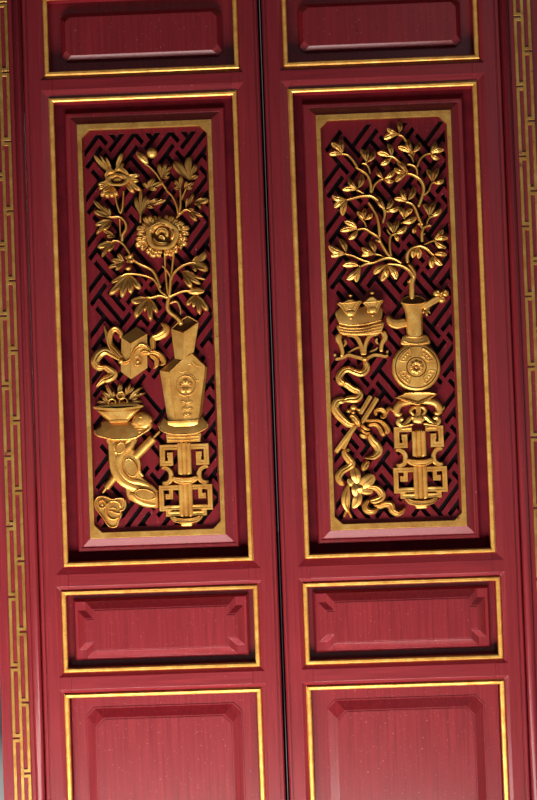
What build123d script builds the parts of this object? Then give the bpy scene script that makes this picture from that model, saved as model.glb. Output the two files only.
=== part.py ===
"""Pair of carved temple door leaves with their frame, in millimetres.

Each leaf is a joined frame of stiles and rails that holds four panels. The tall
heart panel carries a pierced diagonal fret with gilded carvings laid on it.
The leaves turn on wooden pivot posts behind the outer stiles.

Origin: middle of the threshold's underside. X runs along the doorway, Y into the
building and Z up. The front faces of the closed leaves lie at y = 0.
"""
from build123d import *
import math
import os
from collections import namedtuple

# Leaf
leaf_width = 524.5
leaf_thickness = 54.0
meeting_gap = 5.5
meeting_bevel = 2.25
jamb_gap = 2.0
bottom_gap = 4.0
top_gap = 4.0

# Stile face, from the outer edge inwards
edge_strip = 9.0
edge_groove = 3.0
edge_groove_depth = 3.0
edge_chamfer = 3.0
stile_flat = 25.25

# Heights of rails (between the outlines of the gilt beads) and of the panels
bottom_rail_height = 126.0
skirt_height = 593.0
lower_rail_height = 45.6
middle_height = 179.4
middle_rail_height = 52.0
heart_height = 1035.7
upper_rail_height = 48.7
upper_height = 179.5
top_rail_height = 62.1

# Moulded edge and gilt bead round every panel
heart_slope = 16.8
panel_slope = 9.3
slope_depth = 6.0
bead_width = 10.0
bead_rise = 5.0

# Panels in their grooves
panel_tongue = 8.0
tongue_depth = 8.0
groove_fit = 0.25
groove_room = 1.0
panel_floor = 31.0
tenon_length = 36.0
tenon_thickness = 14.0
tenon_front = 14.0
tenon_shoulder = 14.0
mortise_room = 1.0

# Raised fields
middle_margin = 12.0
middle_plate_rise = 12.0
middle_plate_round = 5.0
middle_field_inset = 11.0
middle_notch_width = 17.0
middle_notch_height = 19.0
middle_bevel = 16.0
middle_field_rise = 9.0
skirt_plate_rise = 8.0
skirt_side_margin = 36.0
skirt_end_margin = 28.0
skirt_corner = 18.0
skirt_bevel = 19.0
skirt_field_rise = 11.0
upper_margin = 26.0
upper_corner = 11.0
upper_bevel = 11.0
upper_wall = 8.0
upper_field_rise = 10.0
field_step = 1.5
field_step_inset = 3.0

# Heart panel: moulding, gilt fillet and fret board
heart_recess = 20.0
moulding_width = 28.7
moulding_round = 11.0
moulding_edge_rise = 6.0
moulding_inner_rise = 17.0
fillet_side = 10.0
fillet_end = 13.0
fillet_corner = 17.0
fillet_thickness = 10.0
carving_side_gap = 17.5
carving_head_gap = 18.0
carving_foot_gap = 5.3
fret_thickness = 8.0
fret_side_border = 4.0
fret_end_border = 10.0
fret_slot = 9.8
fret_stem = 84.0
fret_bar = 56.0
fret_column = 40.1
fret_row = 50.9

# Frame
threshold_height = 100.0
head_height = 110.0
sill_front = 22.0
frame_back = 50.0
stop_height = 12.0
stop_gap = 5.0
jamb_width = 90.0
jamb_nose = 10.0
jamb_nose_rise = 8.0
jamb_tenon_length = 30.0
jamb_tenon_width = 50.0
jamb_tenon_thickness = 24.0

# Gilded lattice strip on the jambs
lattice_thickness = 5.0
lattice_width = 38.0
lattice_end = 6.0
lattice_from_nose = 8.0

# Wooden pivots
post_radius = 18.0
post_square = 26.0
pin_radius = 13.0
pin_clearance = 0.5
pin_length = 42.0
pin_foot_gap = 0.3
socket_depth = 32.0
post_drop = 6.0
post_top_gap = 3.0
beam_depth = 75.0
beam_height = 60.0
beam_lift = 10.0
beam_end = 10.0
block_height = 95.0
block_half_width = 34.0

# Levels and half widths that follow from the sizes above
leaf_half = leaf_width / 2
leaf_centre = meeting_gap / 2 + leaf_half
moulding_line = leaf_half - edge_strip - edge_groove - stile_flat
heart_half = moulding_line - heart_slope
panel_half = moulding_line - panel_slope
leaf_bottom = threshold_height + bottom_gap
skirt_bottom = leaf_bottom + bottom_rail_height
skirt_top = skirt_bottom + skirt_height
middle_bottom = skirt_top + lower_rail_height
middle_top = middle_bottom + middle_height
heart_bottom = middle_top + middle_rail_height
heart_top = heart_bottom + heart_height
upper_bottom = heart_top + upper_rail_height
upper_top = upper_bottom + upper_height
leaf_top = upper_top + top_rail_height
head_bottom = leaf_top + top_gap
frame_top = head_bottom + head_height
jamb_inner = leaf_centre + leaf_half + jamb_gap
jamb_outer = jamb_inner + jamb_width
pivot_x = leaf_centre + leaf_half - post_radius
pivot_y = leaf_thickness + post_radius

groove_front = panel_floor - groove_fit
groove_depth = tongue_depth + groove_room

Opening = namedtuple("Opening", "half bottom top slope")
openings = {
    "skirt": Opening(panel_half, skirt_bottom, skirt_top, panel_slope),
    "middle": Opening(panel_half, middle_bottom, middle_top, panel_slope),
    "heart": Opening(heart_half, heart_bottom, heart_top, heart_slope),
    "upper": Opening(panel_half, upper_bottom, upper_top, panel_slope),
}

# Layers of the heart panel, from the board forwards
moulding_outer = heart_half - bead_width - heart_recess
fret_half = moulding_outer - moulding_width
fret_bottom = heart_bottom + bead_width + heart_recess + moulding_width
fret_top = heart_top - bead_width - heart_recess - moulding_width
fret_face = panel_floor - fret_thickness
fillet_face = fret_face - fillet_thickness


def box_between(x0, x1, y0, y1, z0, z1):
    """Plain block between two corners."""
    middle = Pos((x0 + x1) / 2, (y0 + y1) / 2, (z0 + z1) / 2)
    return middle * Box(x1 - x0, y1 - y0, z1 - z0)


def solid_of(faces):
    """Closed solid whose flat faces are given as lists of points."""
    skin = Shell([Face(Wire.make_polygon(points, close=True)) for points in faces])
    return Solid(skin)


def hipped(base, top, back, front):
    """Solid between an outline at depth back and one of as many corners in front.

    Outlines are (x, z) lists, and the sides slope from one to the other.
    """
    low = [(x, back, z) for x, z in base]
    high = [(x, front, z) for x, z in top]
    faces = [low, high]
    for i in range(len(low)):
        j = (i + 1) % len(low)
        faces.append([low[i], low[j], high[j]])
        faces.append([low[i], high[j], high[i]])
    return solid_of(faces)


def rectangle(half_width, bottom, top):
    """Corners of an upright rectangle about x = 0."""
    return [(-half_width, bottom), (half_width, bottom), (half_width, top), (-half_width, top)]


def cut_corner_rectangle(half_width, bottom, top, corner):
    """Rectangle with its corners cut at 45 degrees."""
    return [
        (-half_width + corner, bottom), (half_width - corner, bottom),
        (half_width, bottom + corner), (half_width, top - corner),
        (half_width - corner, top), (-half_width + corner, top),
        (-half_width, top - corner), (-half_width, bottom + corner),
    ]


def notched_rectangle(half_width, bottom, top, notch_width, notch_height):
    """Rectangle with a square notch in each corner."""
    inner = half_width - notch_width
    return [
        (-inner, bottom), (inner, bottom), (inner, bottom + notch_height),
        (half_width, bottom + notch_height), (half_width, top - notch_height),
        (inner, top - notch_height), (inner, top), (-inner, top),
        (-inner, top - notch_height), (-half_width, top - notch_height),
        (-half_width, bottom + notch_height), (-inner, bottom + notch_height),
    ]


def prism(outline, back, front):
    """Straight block behind an (x, z) outline."""
    low = [(x, back, z) for x, z in outline]
    high = [(x, front, z) for x, z in outline]
    faces = [low, high]
    for i in range(len(low)):
        j = (i + 1) % len(low)
        faces.append([low[i], low[j], high[j], high[i]])
    return solid_of(faces)


def joined(pieces):
    """One solid from pieces that were carved from the same block."""
    first, rest = pieces[0], pieces[1:]
    return first.fuse(*rest).clean() if rest else first


# Stiles, rails and panels of a leaf, about x = 0

def opening_cutters(opening):
    """What a panel's opening takes out of the leaf's members, apart from the groove."""
    sloped = opening.slope / slope_depth
    ahead = slope_depth
    wide = opening.slope + sloped * ahead
    outer = rectangle(opening.half + wide, opening.bottom - wide, opening.top + wide)
    inner = rectangle(opening.half, opening.bottom, opening.top)
    clear_half = opening.half - bead_width
    clear_bottom = opening.bottom + bead_width
    clear_top = opening.top - bead_width
    return [
        hipped(outer, inner, -ahead, slope_depth),
        box_between(-clear_half, clear_half, 0, leaf_thickness + 1, clear_bottom, clear_top),
    ]


def groove_between(half, bottom, top):
    """Panel groove, as a block that is taken out of a stile or rail."""
    return box_between(-half, half, groove_front, groove_front + panel_tongue + 2 * groove_fit, bottom, top)


rail_inner_half = heart_half - bead_width
rails = {
    "bottom_rail": (leaf_bottom, skirt_bottom + bead_width),
    "lower_rail": (skirt_top - bead_width, middle_bottom + bead_width),
    "middle_rail": (middle_top - bead_width, heart_bottom + bead_width),
    "upper_rail": (heart_top - bead_width, upper_bottom + bead_width),
    "top_rail": (upper_top - bead_width, leaf_top),
}


def tenon(side, bottom, top, room):
    """Tenon of a rail, or its mortise where room is not zero."""
    inner = side * (rail_inner_half - 1)
    outer = side * (rail_inner_half + tenon_length + room)
    return box_between(min(inner, outer), max(inner, outer),
                       tenon_front, tenon_front + tenon_thickness,
                       bottom + tenon_shoulder, top - tenon_shoulder)


def make_rail(bottom, top):
    """Rail with its moulded edges, panel grooves and two tenons."""
    rail = box_between(-rail_inner_half, rail_inner_half, 0, leaf_thickness, bottom, top)
    for opening in openings.values():
        if opening.bottom < top and opening.top > bottom:
            for cutter in opening_cutters(opening):
                rail = rail - cutter
            rail = rail - groove_between(leaf_half, opening.bottom + bead_width - groove_depth,
                                         opening.top - bead_width + groove_depth)
    for side in (-1, 1):
        rail = rail + tenon(side, bottom, top, 0)
    return rail.solid()


def make_stile(side, bevel=0.0):
    """Stile on the side given, with every rail's mortise.

    The bevel draws its outer edge in at the front and out by as much at the back.
    """
    inner, front_edge, back_edge = rail_inner_half, leaf_half - bevel, leaf_half + bevel
    plan = [(inner, 0), (front_edge, 0), (back_edge, leaf_thickness), (inner, leaf_thickness)]
    section = Plane.XY.offset(leaf_bottom) * make_face(Polyline(*[(side * x, y) for x, y in plan], close=True))
    stile = extrude(section, leaf_top - leaf_bottom, dir=(0, 0, 1)).solid()
    for opening in openings.values():
        for cutter in opening_cutters(opening):
            stile = stile - cutter
    stile = stile - groove_between(panel_half - bead_width + groove_depth,
                                   skirt_bottom + bead_width - groove_depth,
                                   upper_top - bead_width + groove_depth)
    for bottom, top in rails.values():
        stile = stile - tenon(side, bottom, top, mortise_room)
    groove_outer = side * (leaf_half - edge_strip)
    groove_inner = side * (leaf_half - edge_strip - edge_groove)
    stile = stile - box_between(min(groove_inner, groove_outer), max(groove_inner, groove_outer),
                                -1, edge_groove_depth, leaf_bottom - 1, leaf_top + 1)
    cut = edge_chamfer + 1
    arris = [(side * (front_edge - cut), -1), (side * (front_edge + 1), -1), (side * (front_edge + 1), cut)]
    section = Plane.XY.offset(leaf_bottom - 1) * make_face(Polyline(*arris, close=True))
    return (stile - extrude(section, leaf_top - leaf_bottom + 2, dir=(0, 0, 1))).solid()


def tongue_board(opening):
    """Panel's board with the tongue that sits in the groove."""
    half = opening.half - bead_width + tongue_depth
    bottom = opening.bottom + bead_width - tongue_depth
    top = opening.top - bead_width + tongue_depth
    return box_between(-half, half, panel_floor, panel_floor + panel_tongue, bottom, top)


def make_middle_panel():
    """Panel with a raised plate and a field with notched corners."""
    opening = openings["middle"]
    inset = bead_width + middle_margin
    half, bottom, top = opening.half - inset, opening.bottom + inset, opening.top - inset
    plate_face = panel_floor - middle_plate_rise
    shoulder = plate_face + middle_plate_round
    r = middle_plate_round
    field_half = half - middle_field_inset
    field_bottom = bottom + middle_field_inset / 2
    field_top = top - middle_field_inset / 2
    field_face = plate_face - middle_field_rise

    def field(grow):
        return notched_rectangle(field_half - grow, field_bottom + grow, field_top - grow,
                                 middle_notch_width, middle_notch_height)

    step = middle_bevel + field_step_inset
    return joined([
        tongue_board(opening).solid(),
        prism(rectangle(half, bottom, top), panel_floor, shoulder),
        hipped(rectangle(half, bottom, top), rectangle(half - r, bottom + r, top - r),
               shoulder, plate_face),
        hipped(field(0), field(middle_bevel), plate_face, field_face),
        prism(field(step), field_face, field_face - field_step),
    ])


def make_skirt_panel():
    """Tall lower panel with a raised field with cut corners."""
    opening = openings["skirt"]
    half = opening.half - bead_width - groove_room
    bottom, top = opening.bottom + bead_width + groove_room, opening.top - bead_width - groove_room
    plate_face = panel_floor - skirt_plate_rise
    field_half = opening.half - bead_width - skirt_side_margin
    field_bottom = opening.bottom + bead_width + skirt_end_margin
    field_top = opening.top - bead_width - skirt_end_margin
    field_face = plate_face - skirt_field_rise

    def field(grow):
        return cut_corner_rectangle(field_half - grow, field_bottom + grow, field_top - grow,
                                    skirt_corner)

    step = skirt_bevel + field_step_inset
    return joined([
        tongue_board(opening).solid(),
        prism(rectangle(half, bottom, top), panel_floor, plate_face),
        prism(field(-field_step_inset), plate_face, plate_face - field_step),
        hipped(field(0), field(skirt_bevel), plate_face - field_step, field_face),
        prism(field(step), field_face, field_face - field_step),
    ])


def make_upper_panel():
    """Small top panel with a tablet that stands in a deep recess."""
    opening = openings["upper"]
    inset = bead_width + upper_margin
    half, bottom, top = opening.half - inset, opening.bottom + inset, opening.top - inset
    wall_face = panel_floor - upper_wall

    def tablet(grow):
        return cut_corner_rectangle(half - grow, bottom + grow, top - grow, upper_corner)

    return joined([
        tongue_board(opening).solid(),
        prism(tablet(0), panel_floor, wall_face),
        hipped(tablet(0), tablet(upper_bevel), wall_face, wall_face - upper_field_rise),
    ])


def mitred_bars(section, half, bottom, top):
    """Four bars of one section round a rectangle, mitred at its corners.

    The section is a row of (distance inwards from the rectangle, depth).
    """
    width, height = 2 * half, top - bottom
    sides = [((-half, bottom), 0, width), ((half, bottom), 90, height),
             ((half, top), 180, width), ((-half, top), 270, height)]
    bars = []
    for (x, z), turn, length in sides:
        near = [(t, depth, t) for t, depth in section]
        far = [(length - t, depth, t) for t, depth in section]
        faces = [near, far]
        for i in range(len(section)):
            j = (i + 1) % len(section)
            faces.append([near[i], near[j], far[j], far[i]])
        bars.append(Pos(x, 0, z) * Rot(0, -turn, 0) * solid_of(faces))
    return bars


bead_section = [
    (0, slope_depth), (0, slope_depth - bead_rise / 2), (bead_width / 4, slope_depth - bead_rise),
    (bead_width * 3 / 4, slope_depth - bead_rise), (bead_width, slope_depth - bead_rise / 2),
    (bead_width, slope_depth),
]
moulding_section = [
    (0, panel_floor), (0, panel_floor - moulding_edge_rise),
    (moulding_round * 0.3, panel_floor - moulding_edge_rise * 1.4),
    (moulding_round * 0.7, panel_floor - moulding_edge_rise * 1.5),
    (moulding_round, panel_floor - moulding_edge_rise * 1.3),
    (moulding_width, panel_floor - moulding_inner_rise), (moulding_width, panel_floor),
]


# Fret board: interlocked I-shaped slots on a diamond lattice

def i_slot(x, z, lean):
    """Outline of one slot, its stem along one diagonal and its bars along the other."""
    angle = math.atan2(fret_row * drawing_v, fret_column * drawing_u)
    along = (lean * math.cos(angle), math.sin(angle))
    across = (-lean * math.cos(angle), math.sin(angle))
    stem, bar, half = fret_stem / 2, fret_bar / 2, fret_slot / 2
    turns = [(-bar, -stem - half), (bar, -stem - half), (bar, -stem + half), (half, -stem + half),
             (half, stem - half), (bar, stem - half), (bar, stem + half), (-bar, stem + half),
             (-bar, stem - half), (-half, stem - half), (-half, -stem + half), (-bar, -stem + half)]
    return [(x + a * across[0] + b * along[0], z + a * across[1] + b * along[1]) for a, b in turns]


def make_fret_board(start, covered):
    """Pierced board; the lattice starts where the carver set it out on this leaf.

    The ground stays whole under the broad carvings, which are glued there.
    """
    start_x, start_z = on_fret(*start)
    kept = [(on_fret(u0, v0), on_fret(u1, v1)) for u0, v0, u1, v1 in covered]
    height = fret_top - fret_bottom
    board = Pos(0, (fret_bottom + fret_top) / 2) * Rectangle(2 * fret_half, height)
    window_half = fret_half - fillet_side - fret_side_border
    inset = fillet_end + fret_end_border
    window = Pos(0, (fret_bottom + fret_top) / 2) * Rectangle(2 * window_half, height - 2 * inset)
    column, row = fret_column * drawing_u, fret_row * drawing_v
    columns = int(fret_half / column) + 2
    rows = int(height / row) + 2
    smallest = 4 * fret_slot * fret_slot
    for i in range(-columns, columns + 1):
        for j in range(-rows, rows + 1):
            if (i + j) % 2:
                continue
            x, z = start_x + i * column, start_z + j * row
            lean = 1 if j % 2 else -1
            if any(x0 < x < x1 and z0 < z < z1 for (x0, z0), (x1, z1) in kept):
                continue
            slot = make_face(Polyline(*i_slot(x, z, lean), close=True)) & window
            for face in (slot.faces() if slot else []):
                if face.area > smallest:
                    board = board - face
    plate = Plane.XZ.offset(-panel_floor) * board
    return extrude(plate, fret_thickness, dir=(0, -1, 0)).solid()


def make_fillet():
    """Flat gilt fillet with cut inner corners, laid on the fret board's border."""
    outer = rectangle(fret_half, fret_bottom, fret_top)
    inner = cut_corner_rectangle(fret_half - fillet_side, fret_bottom + fillet_end,
                                 fret_top - fillet_end, fillet_corner)
    ring = prism(outer, fret_face, fillet_face) - prism(inner, fret_face + 1, fillet_face - 1)
    return ring.solid()


# Carvings, drawn as (u, v) on the carver's drawing and standing on the fret

def on_fret(u, v):
    """Place of a drawing point, as (x, z) about the leaf's middle."""
    return (u * drawing_u, carving_foot + (v - drawn_foot) * drawing_v)


def block(base, rise, top=None, seat=0):
    """Carved block on the fret, from its foot outline to its top outline."""
    low = [on_fret(u, v) for u, v in base]
    high = [on_fret(u, v) for u, v in (top or base)]
    return hipped(low, high, fret_face - seat, fret_face - rise)


def shrunk(outline, share):
    """Outline drawn in towards its middle, to this share of its size."""
    u0 = sum(u for u, v in outline) / len(outline)
    v0 = sum(v for u, v in outline) / len(outline)
    return [(u0 + (u - u0) * share, v0 + (v - v0) * share) for u, v in outline]


def cushion(outline, rise, share=0.8):
    """Block whose sides lean in."""
    return block(outline, rise, shrunk(outline, share))


def beside(points, offsets):
    """Points of a line drawn beside another, mitred at its turns."""
    moved = []
    for i, (u, v) in enumerate(points):
        near = [points[max(i - 1, 0)], (u, v), points[min(i + 1, len(points) - 1)]]
        normals = []
        for a, b in zip(near, near[1:]):
            length = math.dist(a, b)
            if length > 0:
                normals.append(((a[1] - b[1]) / length, (b[0] - a[0]) / length))
        (pu, pv), (qu, qv) = normals[0], normals[-1]
        share = offsets[i] / max(1 + pu * qu + pv * qv, 0.6)
        moved.append((u + share * (pu + qu), v + share * (pv + qv)))
    return moved


def along(count, first, last):
    """Values that run evenly from first to last."""
    return [first + (last - first) * i / (count - 1) for i in range(count)]


def stretched(inner, outer, extra):
    """Point beyond the outer one, on the line from the inner one."""
    share = 1 + extra / math.dist(inner, outer)
    return (inner[0] + (outer[0] - inner[0]) * share, inner[1] + (outer[1] - inner[1]) * share)


def stem(points, wide, narrow, rise, tail=None):
    """Ridged stem or ribbon that follows a drawn line, and reaches half its width past it."""
    points = [stretched(points[1], points[0], wide / 2)] + points[1:-1] + [
        stretched(points[-2], points[-1], narrow / 2)]
    count = len(points)
    halves = along(count, wide / 2, narrow / 2)
    heights = along(count, rise, rise if tail is None else tail)
    left = [on_fret(u, v) for u, v in beside(points, halves)]
    right = [on_fret(u, v) for u, v in beside(points, [-h for h in halves])]
    ridge = [on_fret(u, v) for u, v in points]
    low_left = [(x, fret_face, z) for x, z in left]
    low_right = [(x, fret_face, z) for x, z in right]
    high = [(x, fret_face - h, z) for (x, z), h in zip(ridge, heights)]
    faces = [low_left + low_right[::-1], [low_left[0], low_right[0], high[0]],
             [low_left[-1], high[-1], low_right[-1]]]
    for i in range(count - 1):
        for edge in (low_left, low_right):
            faces.append([edge[i], edge[i + 1], high[i + 1]])
            faces.append([edge[i], high[i + 1], high[i]])
    return solid_of(faces)


def strap(points, width, rise):
    """Flat fretwork strap that follows a drawn line."""
    halves = [width / 2] * len(points)
    outline = beside(points, halves) + beside(points, [-h for h in halves])[::-1]
    return block(outline, rise)


def pyramid(outline, peaks, sides):
    """Solid on the fret with a few peaks; sides are triangles (foot, foot or peak, peak).

    Corners are numbered through the outline first and the peaks after it.
    """
    corners = [(x, fret_face, z) for x, z in (on_fret(*point) for point in outline)]
    for u, v, rise in peaks:
        x, z = on_fret(u, v)
        corners.append((x, fret_face - rise, z))
    count = len(outline)
    return solid_of([corners[:count]] + [[corners[i] for i in side] for side in sides])


def leaf(foot, tip, width, rise=11.0, widest=0.5):
    """Leaf with a raised midrib, from its foot to its tip."""
    (u0, v0), (u1, v1) = foot, tip
    du, dv = u1 - u0, v1 - v0
    nu, nv = -dv / math.hypot(du, dv) * width / 2, du / math.hypot(du, dv) * width / 2
    middle = (u0 + du * widest, v0 + dv * widest)
    outline = [foot, (middle[0] + nu, middle[1] + nv), tip, (middle[0] - nu, middle[1] - nv)]
    peak = (u0 + du * 0.65, v0 + dv * 0.65, rise)
    return pyramid(outline, [peak], [(i, (i + 1) % 4, 4) for i in range(4)])


def leaves_from(foot, centres, length=22.0, width=11.0):
    """Leaves that spring from one point, each reaching past its own middle."""
    grown = []
    for u, v in centres:
        share = 1 + length / 2 / math.dist(foot, (u, v))
        tip = (foot[0] + (u - foot[0]) * share, foot[1] + (v - foot[1]) * share)
        grown.append(leaf(foot, tip, width, widest=0.6))
    return grown


def turned(foot, tip, angle, share):
    """Point at a share of the way to the tip, turned about the foot."""
    du, dv = tip[0] - foot[0], tip[1] - foot[1]
    c, s = math.cos(math.radians(angle)) * share, math.sin(math.radians(angle)) * share
    return (foot[0] + du * c - dv * s, foot[1] + du * s + dv * c)


def lobed_leaf(foot, tip):
    """Peony leaf with one long lobe and two short ones."""
    outline = [foot] + [turned(foot, tip, angle, share) for angle, share in (
        (-50, 0.7), (-20, 0.5), (0, 1), (20, 0.5), (50, 0.7))]
    middle = turned(foot, tip, 0, 0.45)
    return pyramid(outline, [(middle[0], middle[1], 12)], [(i, (i + 1) % 6, 6) for i in range(6)])


def blossom(centre, radius, petals, rise, cup):
    """Open flower: a ring of pointed petals round a hollow cup."""
    u, v = centre
    outline, ring = [], []
    for i in range(petals):
        for half, reach in ((0.2, radius), (0.7, radius * 0.72)):
            turn = 2 * math.pi * (i + half) / petals
            outline.append((u + reach * math.cos(turn), v + reach * 0.86 * math.sin(turn)))
        turn = 2 * math.pi * (i + 0.45) / petals
        ring.append((u + cup * math.cos(turn), v + cup * math.sin(turn)))
    peaks = [(a, b, rise) for a, b in ring]
    count = len(outline)
    sides = []
    for i in range(petals):
        j = (i + 1) % petals
        peak, after = count + i, count + j
        sides += [(2 * i, 2 * i + 1, peak), (2 * i + 1, (2 * i + 2) % count, after),
                  (2 * i + 1, after, peak)]
    flower = pyramid(outline, peaks, sides + [tuple(range(count, count + petals))])
    rim = [on_fret(a, b) for a, b in shrunk(ring, 0.75)]
    floor = [on_fret(a, b) for a, b in shrunk(ring, 0.4)]
    return flower - hipped(rim, floor, fret_face - rise - 0.1, fret_face - rise * 0.5)


# Left leaf: peony in a faceted vase, a tied bundle, a bonsai on a rock, a ruyi head

peony_stems = [
    ([(68, 531), (64, 536), (55, 543), (42, 555), (38, 568), (42, 590)], 13, 9),
    ([(42, 588), (45, 605), (47, 625), (48, 632), (36, 682)], 8, 5),
    ([(48, 632), (56, 676)], 6, 5),
    ([(46, 622), (55, 640), (70, 652), (92, 660)], 6, 4),
    ([(42, 582), (35, 590), (18, 605), (10, 622), (-10, 635), (-45, 642)], 7, 5),
    ([(14, 612), (5, 645), (-15, 660), (-38, 672), (-45, 690), (-60, 712), (-62, 765)], 7, 5),
    ([(-60, 715), (-55, 735), (-48, 750), (-50, 762), (-70, 770), (-88, 765)], 5, 4),
    ([(-62, 763), (-60, 775), (-70, 820)], 5, 4),
    ([(-60, 773), (-50, 828)], 5, 4),
    ([(60, 752), (70, 768), (66, 790), (58, 812), (42, 842), (25, 860), (18, 900)], 6, 4),
    ([(70, 766), (78, 800), (75, 830), (88, 850)], 5, 4),
    ([(70, 768), (85, 778), (98, 770)], 5, 4),
    ([(-17, 748), (-13, 785)], 5, 4),
    ([(42, 588), (75, 597), (94, 596)], 6, 4),
    ([(40, 584), (20, 590), (5, 585)], 6, 4),
    ([(42, 572), (58, 576), (66, 552)], 6, 4),
    ([(25, 858), (0, 885)], 5, 4),
]
peony_lobed = [
    ((-10, 635), (-62, 650)), ((5, 588), (-24, 562)), ((-18, 660), (-70, 622)), ((92, 658), (124, 668)),
    ((92, 596), (122, 566)), ((-62, 712), (-112, 702)), ((-86, 766), (-114, 745)), ((-68, 768), (-104, 780)),
    ((98, 772), (116, 762)), ((-13, 783), (-16, 812)), ((60, 812), (14, 806)), ((76, 828), (128, 790)),
    ((88, 850), (122, 868)), ((88, 848), (60, 888)), ((2, 884), (-22, 906)), ((80, 655), (128, 634)),
    ((78, 800), (98, 836)), ((44, 842), (40, 868)),
]
peony_buds = [(15, 910, 12), (98, 597, 8), (-44, 662, 7), (102, 897, 7)]


def make_peony():
    """Stems, leaves and flowers of the peony branch, carved as one."""
    pieces = [stem(points, wide, narrow, 10, 8) for points, wide, narrow in peony_stems]
    pieces += [lobed_leaf(foot, tip) for foot, tip in peony_lobed]
    for u, v, radius in peony_buds:
        ring = [(u + radius * math.cos(k * math.pi / 3), v + radius * math.sin(k * math.pi / 3))
                for k in range(6)]
        pieces.append(cushion(ring, 12, 0.5))
    pieces.append(stem([(82, 848), (96, 872), (102, 897)], 5, 4, 8))
    pieces.append(blossom((33, 722), 60, 9, 18, 33))
    pieces.append(blossom((-64, 855), 48, 8, 17, 26))
    return joined(pieces)


def make_faceted_vase():
    """Square vase seen on its corner, with a flaring neck and a foot band."""
    body = [(16, 423), (30, 312), (104, 312), (121, 427), (92, 462), (46, 450)]
    body_face = [(38, 420), (48, 316), (98, 316), (116, 429), (86, 455), (60, 440)]
    neck = [(44, 515), (52, 446), (92, 460), (106, 527), (72, 521)]
    neck_face = [(66, 502), (66, 448), (76, 450), (80, 505), (72, 504)]
    foot = [(31, 297), (97, 297), (97, 313), (31, 313)]
    return joined([block(body, 16, body_face), block(neck, 16, neck_face),
                   block(foot, 16, shrunk(foot, 0.94))])


def mirrored(points, middle):
    """Drawing points mirrored about an upright line."""
    return [(2 * middle - u, v) for u, v in points]


def reeded_column(u, low, high):
    """Upright column with three rounded reeds, seen in section from its left edge."""
    section = []
    for reed in range(3):
        edge = reed * reed_width
        section += [(edge, reed_valley), (edge + reed_round, reed_rise), (edge + reed_width - reed_round, reed_rise)]
    section = [(0, 0)] + section + [(3 * reed_width, reed_valley), (3 * reed_width, 0)]
    ends = []
    for v in (low, high):
        places = [(on_fret(u + across, v), rise) for across, rise in section]
        ends.append([(x, fret_face - rise, z) for (x, z), rise in places])
    near, far = ends
    faces = [near, far]
    for i in range(len(near)):
        j = (i + 1) % len(near)
        faces.append([near[i], near[j], far[j], far[i]])
    return solid_of(faces)


stand_boat = [(29, 103), (37, 88), (53, 86), (57, 77), (73, 77), (77, 86), (92, 88), (100, 103)]


def key_stand(middle, lift, top):
    """Stand of reeded columns with key-fret scrolls on both sides.

    The drawing has its column at drawn_column; middle and lift carry it to its place.
    """
    shift = middle - drawn_column

    def at(points):
        return [(u + shift, v + lift) for u, v in points]

    left_edge = middle - 1.5 * reed_width
    pieces = [reeded_column(left_edge, low + lift, high) for low, high in ((96, 176 + lift), (188, top))]
    for points, width in stand_scrolls:
        pieces.append(strap(at(points), width, 10))
        pieces.append(strap(at(mirrored(points, drawn_column)), width, 10))
    collar = at([(36, 172), (93, 172), (93, 192), (36, 192)])
    pieces.append(block(collar, 16, shrunk(collar, 0.9)))
    boat = at(stand_boat)
    pieces.append(block(boat, 15, shrunk(boat, 0.9)))
    return pieces


drawn_column = 64.5
reed_width = 10.4
reed_round = 3.0
reed_valley = 7.0
reed_rise = 13.0
stand_scrolls = [
    ([(52, 256), (14, 256), (14, 217), (34, 217), (34, 240), (25, 240)], 9.0),
    ([(13, 198), (13, 207), (33, 207), (33, 183), (40, 183)], 8.0),
    ([(52, 162), (10, 162), (10, 122), (31, 122), (31, 145), (21, 145)], 9.0),
    ([(27, 120), (27, 107), (52, 107)], 9.0),
]


def make_vase_stand():
    """Key stand under the faceted vase, with its lobed table top."""
    plate = [(8, 300), (16, 286), (38, 281), (92, 281), (113, 286), (120, 300), (108, 312), (98, 297),
             (30, 297), (20, 312)]
    apron = [(25, 281), (34, 262), (94, 262), (103, 281)]
    return joined(key_stand(drawn_column, 0, 266) + [
        block(plate, 17, shrunk(plate, 0.92)), block(apron, 14, shrunk(apron, 0.9))])


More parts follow.
